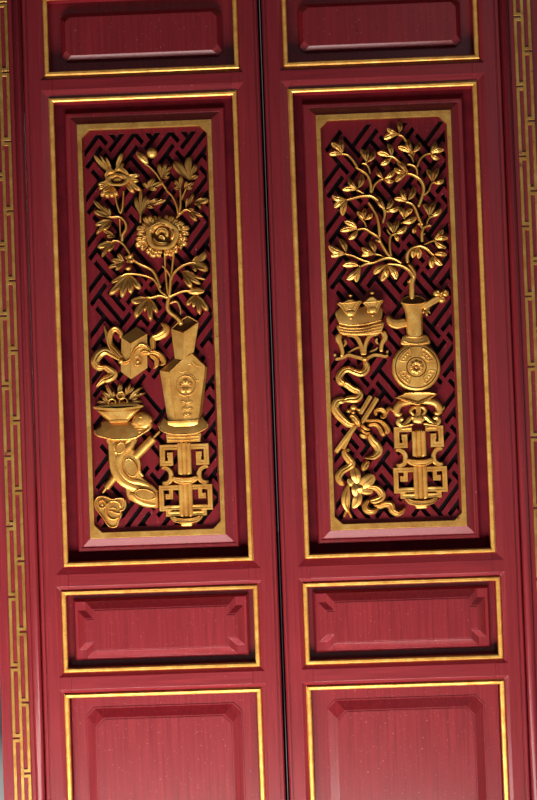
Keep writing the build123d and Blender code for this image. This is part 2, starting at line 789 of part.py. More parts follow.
def make_book_bundle():
    """Boxed book standing on its corner, with the ribbon that ties it."""
    outline = [(-65, 500), (-33, 523), (-10, 506), (-11, 430), (-47, 407), (-70, 425)]
    rises = [9, 3, 9, 6, 15, 7]
    apex = (-45, 485)
    low = [(x, fret_face, z) for x, z in (on_fret(u, v) for u, v in outline)]
    high = [(x, fret_face - rise, z) for (x, y, z), rise in zip(low, rises)]
    x, z = on_fret(*apex)
    peak = (x, fret_face - 18, z)
    faces = [low]
    for i in range(6):
        j = (i + 1) % 6
        faces += [[low[i], low[j], high[j]], [low[i], high[j], high[i]], [high[i], high[j], peak]]
    ribbons = [
        ([(-66, 458), (-86, 480), (-96, 505), (-103, 527)], 13, 10),
        ([(-66, 456), (-84, 478), (-80, 500), (-68, 510)], 9, 8),
        ([(-66, 454), (-96, 474), (-116, 470), (-125, 452), (-108, 436)], 10, 9),
        ([(-66, 448), (-86, 428), (-104, 408), (-125, 395)], 9, 8),
        ([(-12, 462), (-3, 486), (18, 500), (30, 524)], 12, 10),
        ([(-12, 464), (10, 458), (24, 446), (18, 434)], 9, 8),
        ([(-12, 458), (4, 446), (2, 428)], 9, 8),
    ]
    knots = [(-68, 456, 7), (-9, 462, 7)]
    pieces = [solid_of(faces)] + [stem(points, wide, narrow, 11) for points, wide, narrow in ribbons]
    pieces.append(stem([(-70, 454), (-45, 446), (-9, 463)], 12, 12, 19))
    for u, v, r in knots:
        pieces.append(cushion([(u - r, v - r), (u + r, v - r), (u + r, v + r), (u - r, v + r)], 17, 0.6))
    return joined(pieces)


def make_bonsai_table():
    """Bonsai in its bowl and a melon on a lobed table, with the rock under them and a scroll."""
    table = [(-132, 298), (-124, 282), (-96, 274), (-40, 274), (-12, 280), (-5, 300), (-20, 316),
             (-40, 302), (-98, 302), (-118, 316)]
    bowl = [(-124, 346), (-98, 300), (-58, 300), (-30, 346)]
    rim = [(-126, 340), (-26, 340), (-28, 350), (-124, 350)]
    melon = [(-49, 312), (-44, 328), (-26, 335), (-8, 328), (-3, 312), (-12, 296), (-40, 296)]
    rock = [(-105, 277), (-96, 246), (-98, 216), (-90, 190), (-70, 168), (-60, 143), (-25, 124), (0, 119),
            (4, 146), (0, 172), (-20, 181), (-35, 200), (-33, 226), (-45, 256), (-40, 277)]
    hollows = [(-75, 258, 9, 12), (-54, 210, 9, 15), (-22, 152, 18, 9)]
    foliage = [(-112, 362, 13), (-96, 380, 12), (-80, 392, 10), (-66, 366, 14), (-50, 384, 12),
               (-36, 366, 12), (-90, 356, 12), (-22, 358, 7)]
    body = block(rock, 14, shrunk(rock, 0.93))
    for u, v, a, b in hollows:
        ring = [(u - a, v - b * 0.5), (u - a * 0.4, v - b), (u + a, v - b * 0.6),
                (u + a, v + b * 0.6), (u + a * 0.2, v + b), (u - a, v + b * 0.6)]
        low, high = [on_fret(*p) for p in ring], [on_fret(*p) for p in shrunk(ring, 1.15)]
        body = body - hipped(low, high, fret_face - 6, fret_face - 15)
    pieces = [body.solid(), block(table, 17, shrunk(table, 0.92)), block(bowl, 15, shrunk(bowl, 0.8)),
              block(rim, 17, shrunk(rim, 0.94)), cushion(melon, 17, 0.6),
              stem([(-47, 230), (-4, 276)], 19, 19, 14), stem([(-5, 275), (3, 283)], 7, 7, 10),
              stem([(-82, 207), (-112, 168)], 16, 15, 12), stem([(-110, 171), (-118, 161)], 7, 7, 9)]
    for u, v, r in foliage:
        ring = [(u + r * math.cos(k * 1.2566 + u), v + r * math.sin(k * 1.2566 + u)) for k in range(5)]
        pieces.append(cushion(ring, 14, 0.4))
    return joined(pieces)


def make_ruyi_head():
    """Cloud-shaped head of a sceptre, with its eye and its hollow."""
    head = [(-137, 130), (-136, 145), (-125, 153), (-110, 151), (-95, 146), (-80, 148), (-69, 141),
            (-67, 131), (-76, 113), (-84, 100), (-92, 82), (-103, 81), (-113, 92), (-130, 115)]
    body = block(head, 13, shrunk(head, 0.85))
    for u, v, r in ((-120, 135, 6), (-97, 118, 11)):
        ring = [on_fret(u + r * math.cos(k * math.pi / 3), v + r * math.sin(k * math.pi / 3)) for k in range(6)]
        body = body - hipped(ring, ring, fret_face - 7, fret_face - 14)
    return body.solid()


# Right leaf: leafy branch in a moon flask, a draped casket, tied clappers, a small flower

branch_stems = [
    ([(50, 574), (50, 595), (57, 612), (50, 632), (42, 642)], 14, 9),
    ([(56, 612), (30, 638), (-2, 641)], 7, 5),
    ([(27, 641), (0, 655), (-20, 652), (-40, 645), (-62, 638)], 6, 4),
    ([(-43, 647), (-70, 660), (-95, 668)], 5, 4),
    ([(-8, 654), (-28, 664)], 4, 3),
    ([(0, 655), (-10, 685), (-18, 700), (-30, 712), (-50, 722), (-65, 720)], 6, 4),
    ([(-45, 719), (-50, 745)], 4, 3),
    ([(-16, 698), (-18, 730), (-22, 755), (-35, 778)], 6, 5),
    ([(-19, 756), (-35, 788), (-60, 790), (-85, 787)], 5, 4),
    ([(-26, 770), (-3, 758)], 4, 3),
    ([(2, 655), (5, 690), (10, 703), (28, 722), (38, 738)], 5, 4),
    ([(-33, 785), (-47, 797), (-62, 808)], 5, 4),
    ([(-34, 778), (-35, 830), (-45, 845), (-63, 858), (-72, 880), (-92, 887)], 5, 4),
    ([(-37, 834), (-40, 865)], 4, 3),
    ([(-34, 800), (-20, 822), (-5, 828)], 5, 4),
    ([(44, 638), (42, 660), (50, 675), (68, 680), (85, 670), (97, 660)], 7, 4),
    ([(68, 679), (98, 690)], 5, 4),
    ([(66, 678), (78, 720), (72, 740), (65, 757), (58, 772), (42, 778)], 6, 4),
    ([(66, 757), (80, 790), (84, 812), (78, 830), (60, 838), (45, 843)], 5, 4),
    ([(80, 790), (102, 818)], 5, 4),
    ([(76, 716), (88, 725), (95, 742)], 5, 4),
    ([(72, 832), (68, 858), (50, 861), (20, 876)], 5, 4),
    ([(67, 856), (78, 878), (97, 881)], 5, 4),
    ([(64, 858), (53, 882)], 4, 3),
    ([(54, 880), (48, 910), (35, 925)], 4, 3),
]
branch_leaves = [
    ((-2, 641), [(-25, 628), (-12, 615), (10, 622)]),
    ((-62, 638), [(-82, 641), (-80, 624), (-68, 614)]),
    ((-95, 668), [(-112, 662), (-117, 680), (-97, 690)]),
    ((-28, 664), [(-46, 660), (-46, 674), (-35, 684)]),
    ((-65, 720), [(-88, 718), (-78, 704), (-80, 734)]),
    ((-50, 744), [(-58, 758), (-44, 760)]),
    ((-85, 787), [(-105, 796), (-105, 780), (-97, 768)]),
    ((-3, 758), [(-8, 778), (10, 774), (16, 760), (-10, 738)]),
    ((10, 703), [(16, 724), (-4, 716)]),
    ((38, 738), [(28, 756), (46, 760), (54, 738)]),
    ((-62, 808), [(-85, 810), (-76, 826), (-58, 832)]),
    ((-92, 887), [(-100, 905), (-84, 906), (-110, 888)]),
    ((-40, 865), [(-50, 884), (-30, 886)]),
    ((-5, 828), [(12, 836), (0, 848), (-16, 848)]),
    ((97, 660), [(114, 664), (112, 648), (97, 640)]),
    ((62, 678), [(64, 660)]),
    ((98, 690), [(118, 697), (116, 683), (110, 708)]),
    ((42, 778), [(26, 784), (42, 797), (58, 794)]),
    ((78, 720), [(64, 724), (86, 704)]),
    ((45, 843), [(28, 850), (30, 832), (38, 862)]),
    ((102, 818), [(96, 838), (115, 838), (122, 822)]),
    ((95, 742), [(86, 760), (104, 762), (116, 750)]),
    ((20, 876), [(0, 888), (-2, 870), (12, 900)]),
    ((97, 881), [(114, 874), (118, 892), (106, 904)]),
    ((53, 882), [(40, 896), (72, 902)]),
    ((35, 925), [(16, 932), (14, 918), (34, 946)]),
]


def make_branch():
    """Leafy branch in the flask, carved as one."""
    pieces = [stem(points, wide, narrow, 9, 7) for points, wide, narrow in branch_stems]
    for foot, centres in branch_leaves:
        pieces += leaves_from(foot, centres)
    return joined(pieces)


def arc_outline(u, v, ru, rv, start, end, count):
    """Drawn ellipse, or a stretch of it, as a row of points."""
    return [(u + ru * math.cos(math.radians(a)), v + rv * math.sin(math.radians(a)))
            for a in along(count, start, end)]


def make_moon_flask():
    """Round flask with a ringed face, and the sceptre behind its neck."""
    body = arc_outline(51.5, 410, 54, 54, 0, 340, 18)
    face = arc_outline(51.5, 410, 47, 47, 0, 340, 18)
    pan = arc_outline(51.5, 410, 42, 42, 0, 340, 18)
    medal = arc_outline(52, 411, 20, 20, 0, 324, 10)
    neck = [(25, 552), (33, 528), (33, 478), (70, 478), (70, 530), (77, 554), (64, 566), (38, 566)]
    neck_face = [(36, 550), (42, 528), (42, 480), (60, 480), (60, 530), (66, 552), (58, 558), (42, 558)]
    collar = [(20, 459), (83, 459), (83, 481), (20, 481)]
    flask = block(body, 16, face)
    flask = flask - hipped([on_fret(*p) for p in pan], [on_fret(*p) for p in pan], fret_face - 14, fret_face - 17)
    pieces = [flask.solid(), block(medal, 16, shrunk(medal, 0.85)), block(neck, 17, neck_face),
              block(collar, 15, shrunk(collar, 0.9)),
              stem([(34, 522), (14, 520), (0, 508), (-10, 502)], 16, 13, 9),
              stem([(66, 540), (90, 552), (106, 564)], 14, 12, 10)]
    for u, v in ((108, 576), (122, 566), (112, 556)):
        ring = arc_outline(u, v, 9, 9, 0, 300, 6)
        pieces.append(cushion(ring, 13, 0.6))
    return joined(pieces)


def make_flask_stand():
    """Key stand under the moon flask, with its lozenge seat and its little table."""
    seat = [(3, 346), (52, 328), (98, 346), (78, 355), (52, 355.5), (25, 355)]
    table = [(-5, 345), (2, 322), (-2, 304), (14, 300), (24, 318), (52, 326), (80, 318), (90, 300),
             (108, 304), (103, 322), (110, 345)]
    cloud = [(6, 282), (8, 298), (24, 303), (40, 296), (52, 304), (64, 296), (78, 303), (92, 298), (94, 282)]
    plate = [(11, 270), (92, 270), (92, 284), (11, 284)]
    return joined(key_stand(51.5, 22, 276) + [
        block(seat, 18, shrunk(seat, 0.85)), block(table, 15, shrunk(table, 0.9)),
        block(cloud, 15, shrunk(cloud, 0.88)), block(plate, 16, shrunk(plate, 0.93))])


def make_casket():
    """Twin lozenge lids on a drum with curved legs and a floor ring."""
    pieces = []
    for left, right, top, foot, middle in ((-117, -62, 574, 522, -88), (-64, -14, 578, 526, -40)):
        lid = [(left, 557), (middle - 8, 536), (middle, foot), (middle + 8, 536), (right, 560),
               (middle + 6, 570), (middle, top), (middle - 6, 570)]
        pieces.append(block(lid, 18, shrunk(lid, 0.55)))
    drum = [(-122, 511), (-17, 511), (-22, 548), (-117, 548)]
    mouldings = [(-116, 486), (-22, 486), (-18, 512), (-121, 512)]
    pieces += [block(drum, 13, shrunk(drum, 0.85)), block(mouldings, 15, shrunk(mouldings, 0.88))]
    for leg in ([(-110, 492), (-115, 470), (-108, 440)], [(-86, 490), (-84, 470), (-63, 440)],
                [(-42, 490), (-46, 470), (-63, 440)], [(-26, 492), (-18, 470), (-24, 440)],
                [(-64, 490), (-63, 440)]):
        pieces.append(stem(leg, 11, 9, 11))
    ring = [(-128, 438), (-110, 429), (-26, 429), (-8, 438), (-24, 447), (-112, 447)]
    pieces.append(block(ring, 12, shrunk(ring, 0.9)))
    return joined(pieces)


def make_clappers():
    """Two tied clapper boards with their ribbons and tassels."""
    boards = [[(-46, 352), (-28, 340), (-118, 226), (-136, 226)],
              [(-100, 236), (-78, 252), (-96, 240), (-118, 232)]]
    ribbons = [
        ([(-58, 420), (-60, 410), (-68, 401), (-90, 411), (-113, 404), (-118, 390), (-108, 377),
          (-88, 366), (-74, 357), (-86, 347), (-112, 345), (-130, 332), (-126, 312), (-114, 298),
          (-84, 290)], 15, 13),
        ([(-72, 296), (-42, 298), (-26, 290), (-14, 274), (-26, 260)], 12, 10),
        ([(-44, 304), (-30, 320), (-16, 308)], 9, 8),
        ([(-62, 262), (-42, 244), (-40, 226), (-58, 214), (-62, 200)], 12, 9),
        ([(-112, 236), (-104, 214), (-104, 196), (-126, 178), (-126, 166)], 12, 9),
    ]
    pieces = [block(boards[0], 13, shrunk(boards[0], 0.9))]
    pieces += [stem(points, wide, narrow, 10) for points, wide, narrow in ribbons]
    pieces.append(stem([(-58, 316), (-112, 244)], 20, 18, 17))
    knot = arc_outline(-80, 290, 11, 11, 0, 300, 6)
    berries = arc_outline(-92, 326, 8, 8, 0, 300, 6)
    pieces += [cushion(knot, 18, 0.6), cushion(berries, 14, 0.6),
               stem([(-92, 330), (-84, 312), (-80, 292)], 6, 6, 10)]
    return joined(pieces)


def make_small_blossom():
    """Flower on a ribbon at the panel's foot."""
    ribbons = [
        ([(-62, 152), (-38, 142), (-33, 128), (-60, 120), (-68, 103), (-46, 97), (-36, 110), (-12, 114),
          (-8, 96), (2, 88), (17, 104)], 11, 9),
        ([(-86, 130), (-96, 100), (-108, 84)], 8, 7),
        ([(-98, 104), (-120, 90)], 7, 6),
    ]
    petals = [((-86, 148), (-102, 184)), ((-86, 148), (-76, 188)), ((-86, 148), (-54, 172)),
              ((-86, 148), (-56, 142)), ((-86, 148), (-112, 138)), ((-90, 146), (-84, 108))]
    pieces = [stem(points, wide, narrow, 10) for points, wide, narrow in ribbons]
    pieces += [leaf(foot, tip, 20, 13) for foot, tip in petals]
    return joined(pieces)


# The carvings fill the fillet's opening: the middles of the branch's outermost leaves and
# the foot of the vase stand come to their gaps from it.
drawn_half = max(abs(u) for foot, centres in branch_leaves for u, v in centres)
drawn_top = max(v for foot, centres in branch_leaves for u, v in centres)
drawn_foot = min(v for u, v in stand_boat)
carving_foot = fret_bottom + fillet_end + carving_foot_gap
carving_top = fret_top - fillet_end - carving_head_gap
drawing_u = (fret_half - fillet_side - carving_side_gap) / drawn_half
drawing_v = (carving_top - carving_foot) / (drawn_top - drawn_foot)


# Frame and wooden pivots

def jamb_mortice_or_tenon(side, bottom, top):
    """Tenon on a jamb's end, or the mortise for it."""
    middle = side * (jamb_inner + jamb_width / 2)
    depth = frame_back / 2
    return box_between(middle - jamb_tenon_width / 2, middle + jamb_tenon_width / 2,
                       depth - jamb_tenon_thickness / 2, depth + jamb_tenon_thickness / 2, bottom, top)


def make_head():
    """Head over both leaves, with the lip that they close against."""
    head = box_between(-jamb_outer, jamb_outer, -sill_front, frame_back, head_bottom, frame_top)
    lip = box_between(-jamb_inner, jamb_inner, -sill_front, -stop_gap, head_bottom - stop_height, head_bottom)
    head = head + lip
    for side in (-1, 1):
        head = head - jamb_mortice_or_tenon(side, head_bottom - 1, head_bottom + jamb_tenon_length + mortise_room)
    return head.solid()


def make_threshold():
    """Threshold between the jambs' feet, with a lip in front of the leaves."""
    sill = box_between(-jamb_outer, jamb_outer, -sill_front, frame_back, 0, threshold_height)
    lip = box_between(-jamb_inner, jamb_inner, -sill_front, -stop_gap,
                      threshold_height, threshold_height + stop_height)
    sill = sill + lip
    foot = threshold_height - jamb_tenon_length - mortise_room
    for side in (-1, 1):
        sill = sill - jamb_mortice_or_tenon(side, foot, threshold_height + 1)
    return sill.solid()


def make_jamb(side):
    """Jamb with the round nose beside the leaf and a tenon at each end."""
    inner, outer = side * jamb_inner, side * jamb_outer
    section = Pos(side * (jamb_inner + jamb_width / 2), frame_back / 2) * Rectangle(jamb_width, frame_back)
    centre = side * (jamb_inner + jamb_nose)
    section = section + Pos(centre, jamb_nose - jamb_nose_rise) * Circle(jamb_nose)
    jamb = extrude(Plane.XY.offset(threshold_height) * section, head_bottom - threshold_height, dir=(0, 0, 1))
    jamb = jamb + jamb_mortice_or_tenon(side, threshold_height - jamb_tenon_length, threshold_height + 1)
    jamb = jamb + jamb_mortice_or_tenon(side, head_bottom - 1, head_bottom + jamb_tenon_length)
    return jamb.solid()


def make_lattice(side):
    """Gilded strip planted on the jamb's face, carved with staggered rings."""
    bottom = threshold_height + stop_height + lattice_end
    top = head_bottom - stop_height - lattice_end
    start = jamb_inner + 2 * jamb_nose + lattice_from_nose
    inner, outer = side * start, side * (start + lattice_width)
    return box_between(min(inner, outer), max(inner, outer), -lattice_thickness, 0, bottom, top)


def make_post(side):
    """Pivot post behind the outer stile, with a turned pin at each end."""
    top = head_bottom + beam_lift - post_top_gap
    bottom = leaf_bottom - post_drop
    axis = side * pivot_x
    back = Pos(axis - side * post_square / 2, pivot_y) * Rectangle(post_square, 2 * post_radius)
    section = back + Pos(axis, pivot_y) * Circle(post_radius)
    post = extrude(Plane.XY.offset(bottom) * section, top - bottom, dir=(0, 0, 1))
    foot = block_height - socket_depth + pin_foot_gap
    for low, high in ((foot, bottom), (top, top + pin_length)):
        post = post + Pos(axis, pivot_y, (low + high) / 2) * Cylinder(pin_radius, high - low)
    return post.solid()


def make_pivot_beam():
    """Beam behind the head that both upper pins turn in."""
    low = head_bottom + beam_lift
    beam = box_between(-jamb_outer + beam_end, jamb_outer - beam_end, frame_back, frame_back + beam_depth,
                       low, low + beam_height)
    for side in (-1, 1):
        bore = Cylinder(pin_radius + pin_clearance, beam_height + 2)
        beam = beam - Pos(side * pivot_x, pivot_y, low + beam_height / 2) * bore
    return beam.solid()


def make_pivot_block(side):
    """Block on the floor behind the threshold, with the socket for the lower pin."""
    axis = side * pivot_x
    body = box_between(axis - block_half_width, axis + block_half_width, frame_back,
                       frame_back + beam_depth, 0, block_height)
    socket = Cylinder(pin_radius + pin_clearance, socket_depth + 1)
    middle = block_height - socket_depth + (socket_depth + 1) / 2
    return (body - Pos(axis, pivot_y, middle) * socket).solid()


# Writing every piece

os.makedirs("parts", exist_ok=True)


def write(name, pieces):
    """Write one node, from one solid or from a list of them."""
    pieces = pieces if isinstance(pieces, list) else [pieces]
    solids = [solid for piece in pieces for solid in piece.solids()]
    shape = solids[0] if len(solids) == 1 else Compound(children=solids)
    export_step(shape, f"parts/{name}.step")


left = {
    "peony_branch": make_peony,
    "faceted_vase": make_faceted_vase,
    "vase_stand": make_vase_stand,
    "book_bundle": make_book_bundle,
    "bonsai_table": make_bonsai_table,
    "ruyi_head": make_ruyi_head,
}
right = {
    "leafy_branch": make_branch,
    "moon_flask": make_moon_flask,
    "flask_stand": make_flask_stand,
    "casket": make_casket,
    "clapper_ribbons": make_clappers,
    "small_blossom": make_small_blossom,
}
fret_starts = {"left": (-8.6, 565.0), "right": (-4.8, 581.0)}
covered_ground = {
    "left": [(24, 316, 112, 460), (44, 85, 85, 310), (-65, 415, -14, 512), (-5, 685, 70, 758),
             (-128, 275, -8, 335), (-95, 165, -40, 270)],
    "right": [(0, 360, 104, 470), (30, 105, 75, 345), (-118, 485, -20, 568)],
}

for name, side, carvings in (("left", -1, left), ("right", 1, right)):
    place = Pos(side * leaf_centre, 0, 0)
    write(f"{name}_hinge_stile", place * make_stile(side))
    write(f"{name}_meeting_stile", place * make_stile(-side, meeting_bevel))
    for rail, (low, high) in rails.items():
        write(f"{name}_{rail}", place * make_rail(low, high))
    write(f"{name}_skirt_panel", place * make_skirt_panel())
    write(f"{name}_middle_panel", place * make_middle_panel())
    write(f"{name}_upper_panel", place * make_upper_panel())
    for panel, opening in openings.items():
        ring = mitred_bars(bead_section, opening.half, opening.bottom, opening.top)
        write(f"{name}_{panel}_beads", [place * bar for bar in ring])
    write(f"{name}_heart_board", place * tongue_board(openings["heart"]))
    inset = bead_width + heart_recess
    ring = mitred_bars(moulding_section, moulding_outer, heart_bottom + inset, heart_top - inset)
    write(f"{name}_heart_moulding", [place * bar for bar in ring])
    write(f"{name}_fret_board", place * make_fret_board(fret_starts[name], covered_ground[name]))
    write(f"{name}_gilt_fillet", place * make_fillet())
    for carving, make in carvings.items():
        write(f"{name}_{carving}", place * make())
    write(f"{name}_pivot_post", make_post(side))
    write(f"{name}_jamb", make_jamb(side))
    write(f"{name}_jamb_lattice", make_lattice(side))
    write(f"{name}_pivot_block", make_pivot_block(side))

write("head", make_head())
write("threshold", make_threshold())
write("pivot_beam", make_pivot_beam())
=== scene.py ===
"""Looks of the carved temple door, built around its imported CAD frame.

Metres, in the part's own frame: X to the right, Y into the building, Z up. The
carvings are drawn in millimetres on each leaf's heart panel: u across from its
middle, v up from its foot and h off the fret board.
"""
import math
import bmesh
import bpy
import numpy as np
from mathutils import Matrix, Vector


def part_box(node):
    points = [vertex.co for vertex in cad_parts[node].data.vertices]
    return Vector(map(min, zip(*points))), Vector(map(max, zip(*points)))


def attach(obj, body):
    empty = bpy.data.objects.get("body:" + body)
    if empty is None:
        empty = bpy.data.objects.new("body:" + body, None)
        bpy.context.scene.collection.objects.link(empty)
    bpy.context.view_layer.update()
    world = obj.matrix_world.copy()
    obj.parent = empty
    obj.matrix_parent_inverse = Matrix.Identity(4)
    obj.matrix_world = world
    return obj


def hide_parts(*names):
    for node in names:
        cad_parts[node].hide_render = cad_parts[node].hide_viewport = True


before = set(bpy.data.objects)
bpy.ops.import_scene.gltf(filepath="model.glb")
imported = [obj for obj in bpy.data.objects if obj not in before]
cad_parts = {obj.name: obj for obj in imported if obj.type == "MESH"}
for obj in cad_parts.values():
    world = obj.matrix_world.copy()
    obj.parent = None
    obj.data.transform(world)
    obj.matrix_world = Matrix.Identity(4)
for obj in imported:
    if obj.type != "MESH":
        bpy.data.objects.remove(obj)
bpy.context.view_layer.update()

MM = 0.001
sides = ("left", "right")


# Carving tools: each adds a closed form to a relief

class Relief:
    """Points (u, v, h, shade) and faces of one carving; shade is painted shade that darkens the gilding
    there.
    """

    def __init__(self):
        self.points = []
        self.faces = []

    def add(self, points, faces):
        start = len(self.points)
        self.points.extend(tuple(float(c) for c in point) + (0.0,) * (4 - len(point)) for point in points)
        self.faces.extend([start + i for i in face] for face in faces)

    def sheet(self, rows, closed=False, caps=False):
        """Skin over equal rows of points; closed joins the ends of each row."""
        rows = np.asarray(rows, float)
        count, width, columns = rows.shape
        faces = []
        for i in range(count - 1):
            for j in range(width if closed else width - 1):
                k = (j + 1) % width
                faces.append([i * width + j, i * width + k, (i + 1) * width + k, (i + 1) * width + j])
        if caps:
            faces.append(list(range(width)))
            faces.append(list(range((count - 1) * width, count * width)))
        self.add(rows.reshape(-1, columns), faces)


def spline(points, spacing, closed=False):
    """Evenly spaced samples of a smooth line through the points, and its length."""
    points = np.array(points, float)
    if closed:
        padded = np.vstack([points[-1:], points, points[:2]])
    else:
        padded = np.vstack([2 * points[0] - points[1], points, 2 * points[-1] - points[-2]])
    share = np.linspace(0, 1, 12, endpoint=False)[:, None]
    fine = []
    for a, b, c, d in zip(padded, padded[1:], padded[2:], padded[3:]):
        fine.append(0.5 * (2 * b + (c - a) * share + (2 * a - 5 * b + 4 * c - d) * share ** 2
                           + (3 * b - a - 3 * c + d) * share ** 3))
    fine = np.vstack(fine + [padded[-2:-1]])
    length = np.concatenate([[0], np.cumsum(np.linalg.norm(np.diff(fine[:, :2], axis=0), axis=1))])
    places = np.linspace(0, length[-1], max(5, int(length[-1] / spacing)))
    return np.stack([np.interp(places, length, column) for column in fine.T], axis=1), length[-1]


def across_of(path, closed=False):
    """Unit normals of a drawn line."""
    if closed:
        run = np.roll(path[:-1, :2], -1, axis=0) - np.roll(path[:-1, :2], 1, axis=0)
        run = np.vstack([run, run[:1]])
    else:
        run = np.gradient(path[:, :2], axis=0)
    run = run / np.linalg.norm(run, axis=1)[:, None]
    return np.stack([-run[:, 1], run[:, 0]], axis=1)


def half_round(t):
    """Section whose height follows half a circle; t runs from -1 to 1 across it."""
    return np.sqrt(np.clip(1 - t * t, 0, 1))


def soft_flat(t):
    """Section with a flat top and rounded edges."""
    return (1 - np.abs(t) ** 5) ** 0.6


def fluted(count, depth, lean=0.0):
    """Section of a ribbon with grooves along it; lean lifts one of its edges."""
    def profile(t):
        grooves = 1 - depth * (0.5 - 0.5 * np.cos(math.pi * count * (t + 1)))
        return soft_flat(t) * grooves * (1 + lean * t)
    return profile


def reeded(count):
    """Section of round rods side by side."""
    def profile(t):
        place = ((t + 1) / 2 * count) % 1.0
        return 0.45 + 0.55 * np.sqrt(np.clip(1 - (2 * place - 1) ** 2, 0, 1))
    return profile


def sweep(relief, points, profile=half_round, closed=False, spacing=1.8, sections=10, side=0.3, blunt=1.0):
    """Bar along a drawn line of (u, v, width, height), with undercut sides and round ends."""
    path, length = spline(points, spacing, closed)
    normal = across_of(path, closed)
    width, height = path[:, 2].copy(), path[:, 3].copy()
    if not closed:
        place = np.linspace(0, length, len(path))
        near_end = np.minimum(place, length - place) / np.maximum(width / 2 * blunt, 0.01)
        round_off = np.sqrt(1 - (1 - np.clip(near_end, 0.02, 1)) ** 2)
        width *= round_off
        height *= 0.35 + 0.65 * round_off
    t = -np.cos(np.linspace(0, math.pi, sections + 1))
    shape = profile(t)
    rows = []
    for (u, v), (nu, nv), w, h in zip(path[:, :2], normal, width, height):
        offsets = np.concatenate([[-0.6], t, [0.6]]) * w / 2
        heights = np.concatenate([[0], h * (side + (1 - side) * shape), [0]])
        rows.append(np.stack([u + nu * offsets, v + nv * offsets, heights], axis=1))
    relief.sheet(rows, caps=not closed)


def tapered(points, widths, heights):
    """Drawn line given widths and heights that run evenly from its start to its end."""
    share = np.linspace(0, 1, len(points))
    return [(u, v, np.interp(s, np.linspace(0, 1, len(widths)), widths),
             np.interp(s, np.linspace(0, 1, len(heights)), heights)) for (u, v), s in zip(points, share)]


def bars(relief, lines, profile=half_round, **section):
    """Swept bars, each given by its points, widths and heights."""
    for points, widths, heights in lines:
        sweep(relief, tapered(points, widths, heights), profile, **section)


ribbon_fullness = 1.12


def ribbons(relief, lines):
    """Fluttering bands with folds along them and pointed ends, each a little wider than it is drawn."""
    full = [(points, [ribbon_fullness * width for width in widths], heights)
            for points, widths, heights in lines]
    bars(relief, full, fluted(3, 0.17, 0.30), sections=24, side=0.2, blunt=1.6, spacing=1.6)


def hoop(relief, u, v, ru, rv, width, height, count, turn=0.0, **section):
    """Closed oval bar through so many points, which it returns."""
    c, s = math.cos(turn), math.sin(turn)
    line = [(u + ru * math.cos(a) * c - rv * math.sin(a) * s, v + ru * math.cos(a) * s + rv * math.sin(a) * c,
             width, height) for a in np.linspace(0, 2 * math.pi, count, endpoint=False)]
    sweep(relief, line, closed=True, **section)
    return line


def placed(points, middle, way=1, lift=0.0):
    """Drawn points set about an upright line, and mirrored where way is -1."""
    return [(middle + way * u, v + lift) for u, v in points]


def blade(relief, foot, tip, width, heights, foot_power=0.8, tip_power=0.7, bend=0.0, crown=2.5,
          groove=1.4, ribs=0, rib_depth=0.7, tilt=0.0, shade=0.0, samples=14, across=12):
    """Leaf or petal from its foot to its tip; heights are at the foot, middle and tip.

    A tilt above zero turns its face up, and one below zero turns it down. Its shade and its midrib groove
    darken it with painted shade.
    """
    foot, tip = np.array(foot, float), np.array(tip, float)
    run = tip - foot
    length = np.linalg.norm(run)
    normal = np.array([-run[1], run[0]]) / length
    s = np.linspace(0.0, 1.0, samples + 1)
    shape = np.power(s + 0.02, foot_power) * np.power(1.0 - s + 0.004, tip_power)
    shape = shape / shape.max()
    centre = foot + run * s[:, None] + normal * (bend * np.sin(math.pi * s))[:, None]
    turn = across_of(np.hstack([centre, centre[:, :1]]))
    spine = np.interp(s, [0, 0.5, 1], heights) + 0.15 * max(heights) * np.sin(math.pi * s)
    middle = (foot[1] + tip[1]) / 2
    t = np.linspace(-1, 1, across + 1)
    crease = np.exp(-(t / 0.13) ** 2) if groove else np.zeros_like(t)
    rows = []
    for i in range(len(s)):
        half = width / 2 * shape[i]
        top = centre[i] + turn[i] * (t * half)[:, None]
        height = spine[i] - crown * t ** 2 * shape[i] - groove * crease * shape[i]
        height = height - tilt * (top[:, 1] - middle)
        if ribs:
            height = height + rib_depth * np.cos(ribs * math.pi * t) * shape[i]
        under = foot + (centre[i] - foot) * 0.9
        left = np.append(under - turn[i] * half * 0.5, (0.0, shade))
        right = np.append(under + turn[i] * half * 0.5, (0.0, shade))
        painted_shade_value = np.clip(shade + 0.85 * crease * shape[i], 0, 1)
        rows.append(np.vstack([left, np.column_stack([top, np.maximum(height, 0.6), painted_shade_value]), right]))
    relief.sheet(rows, caps=True)


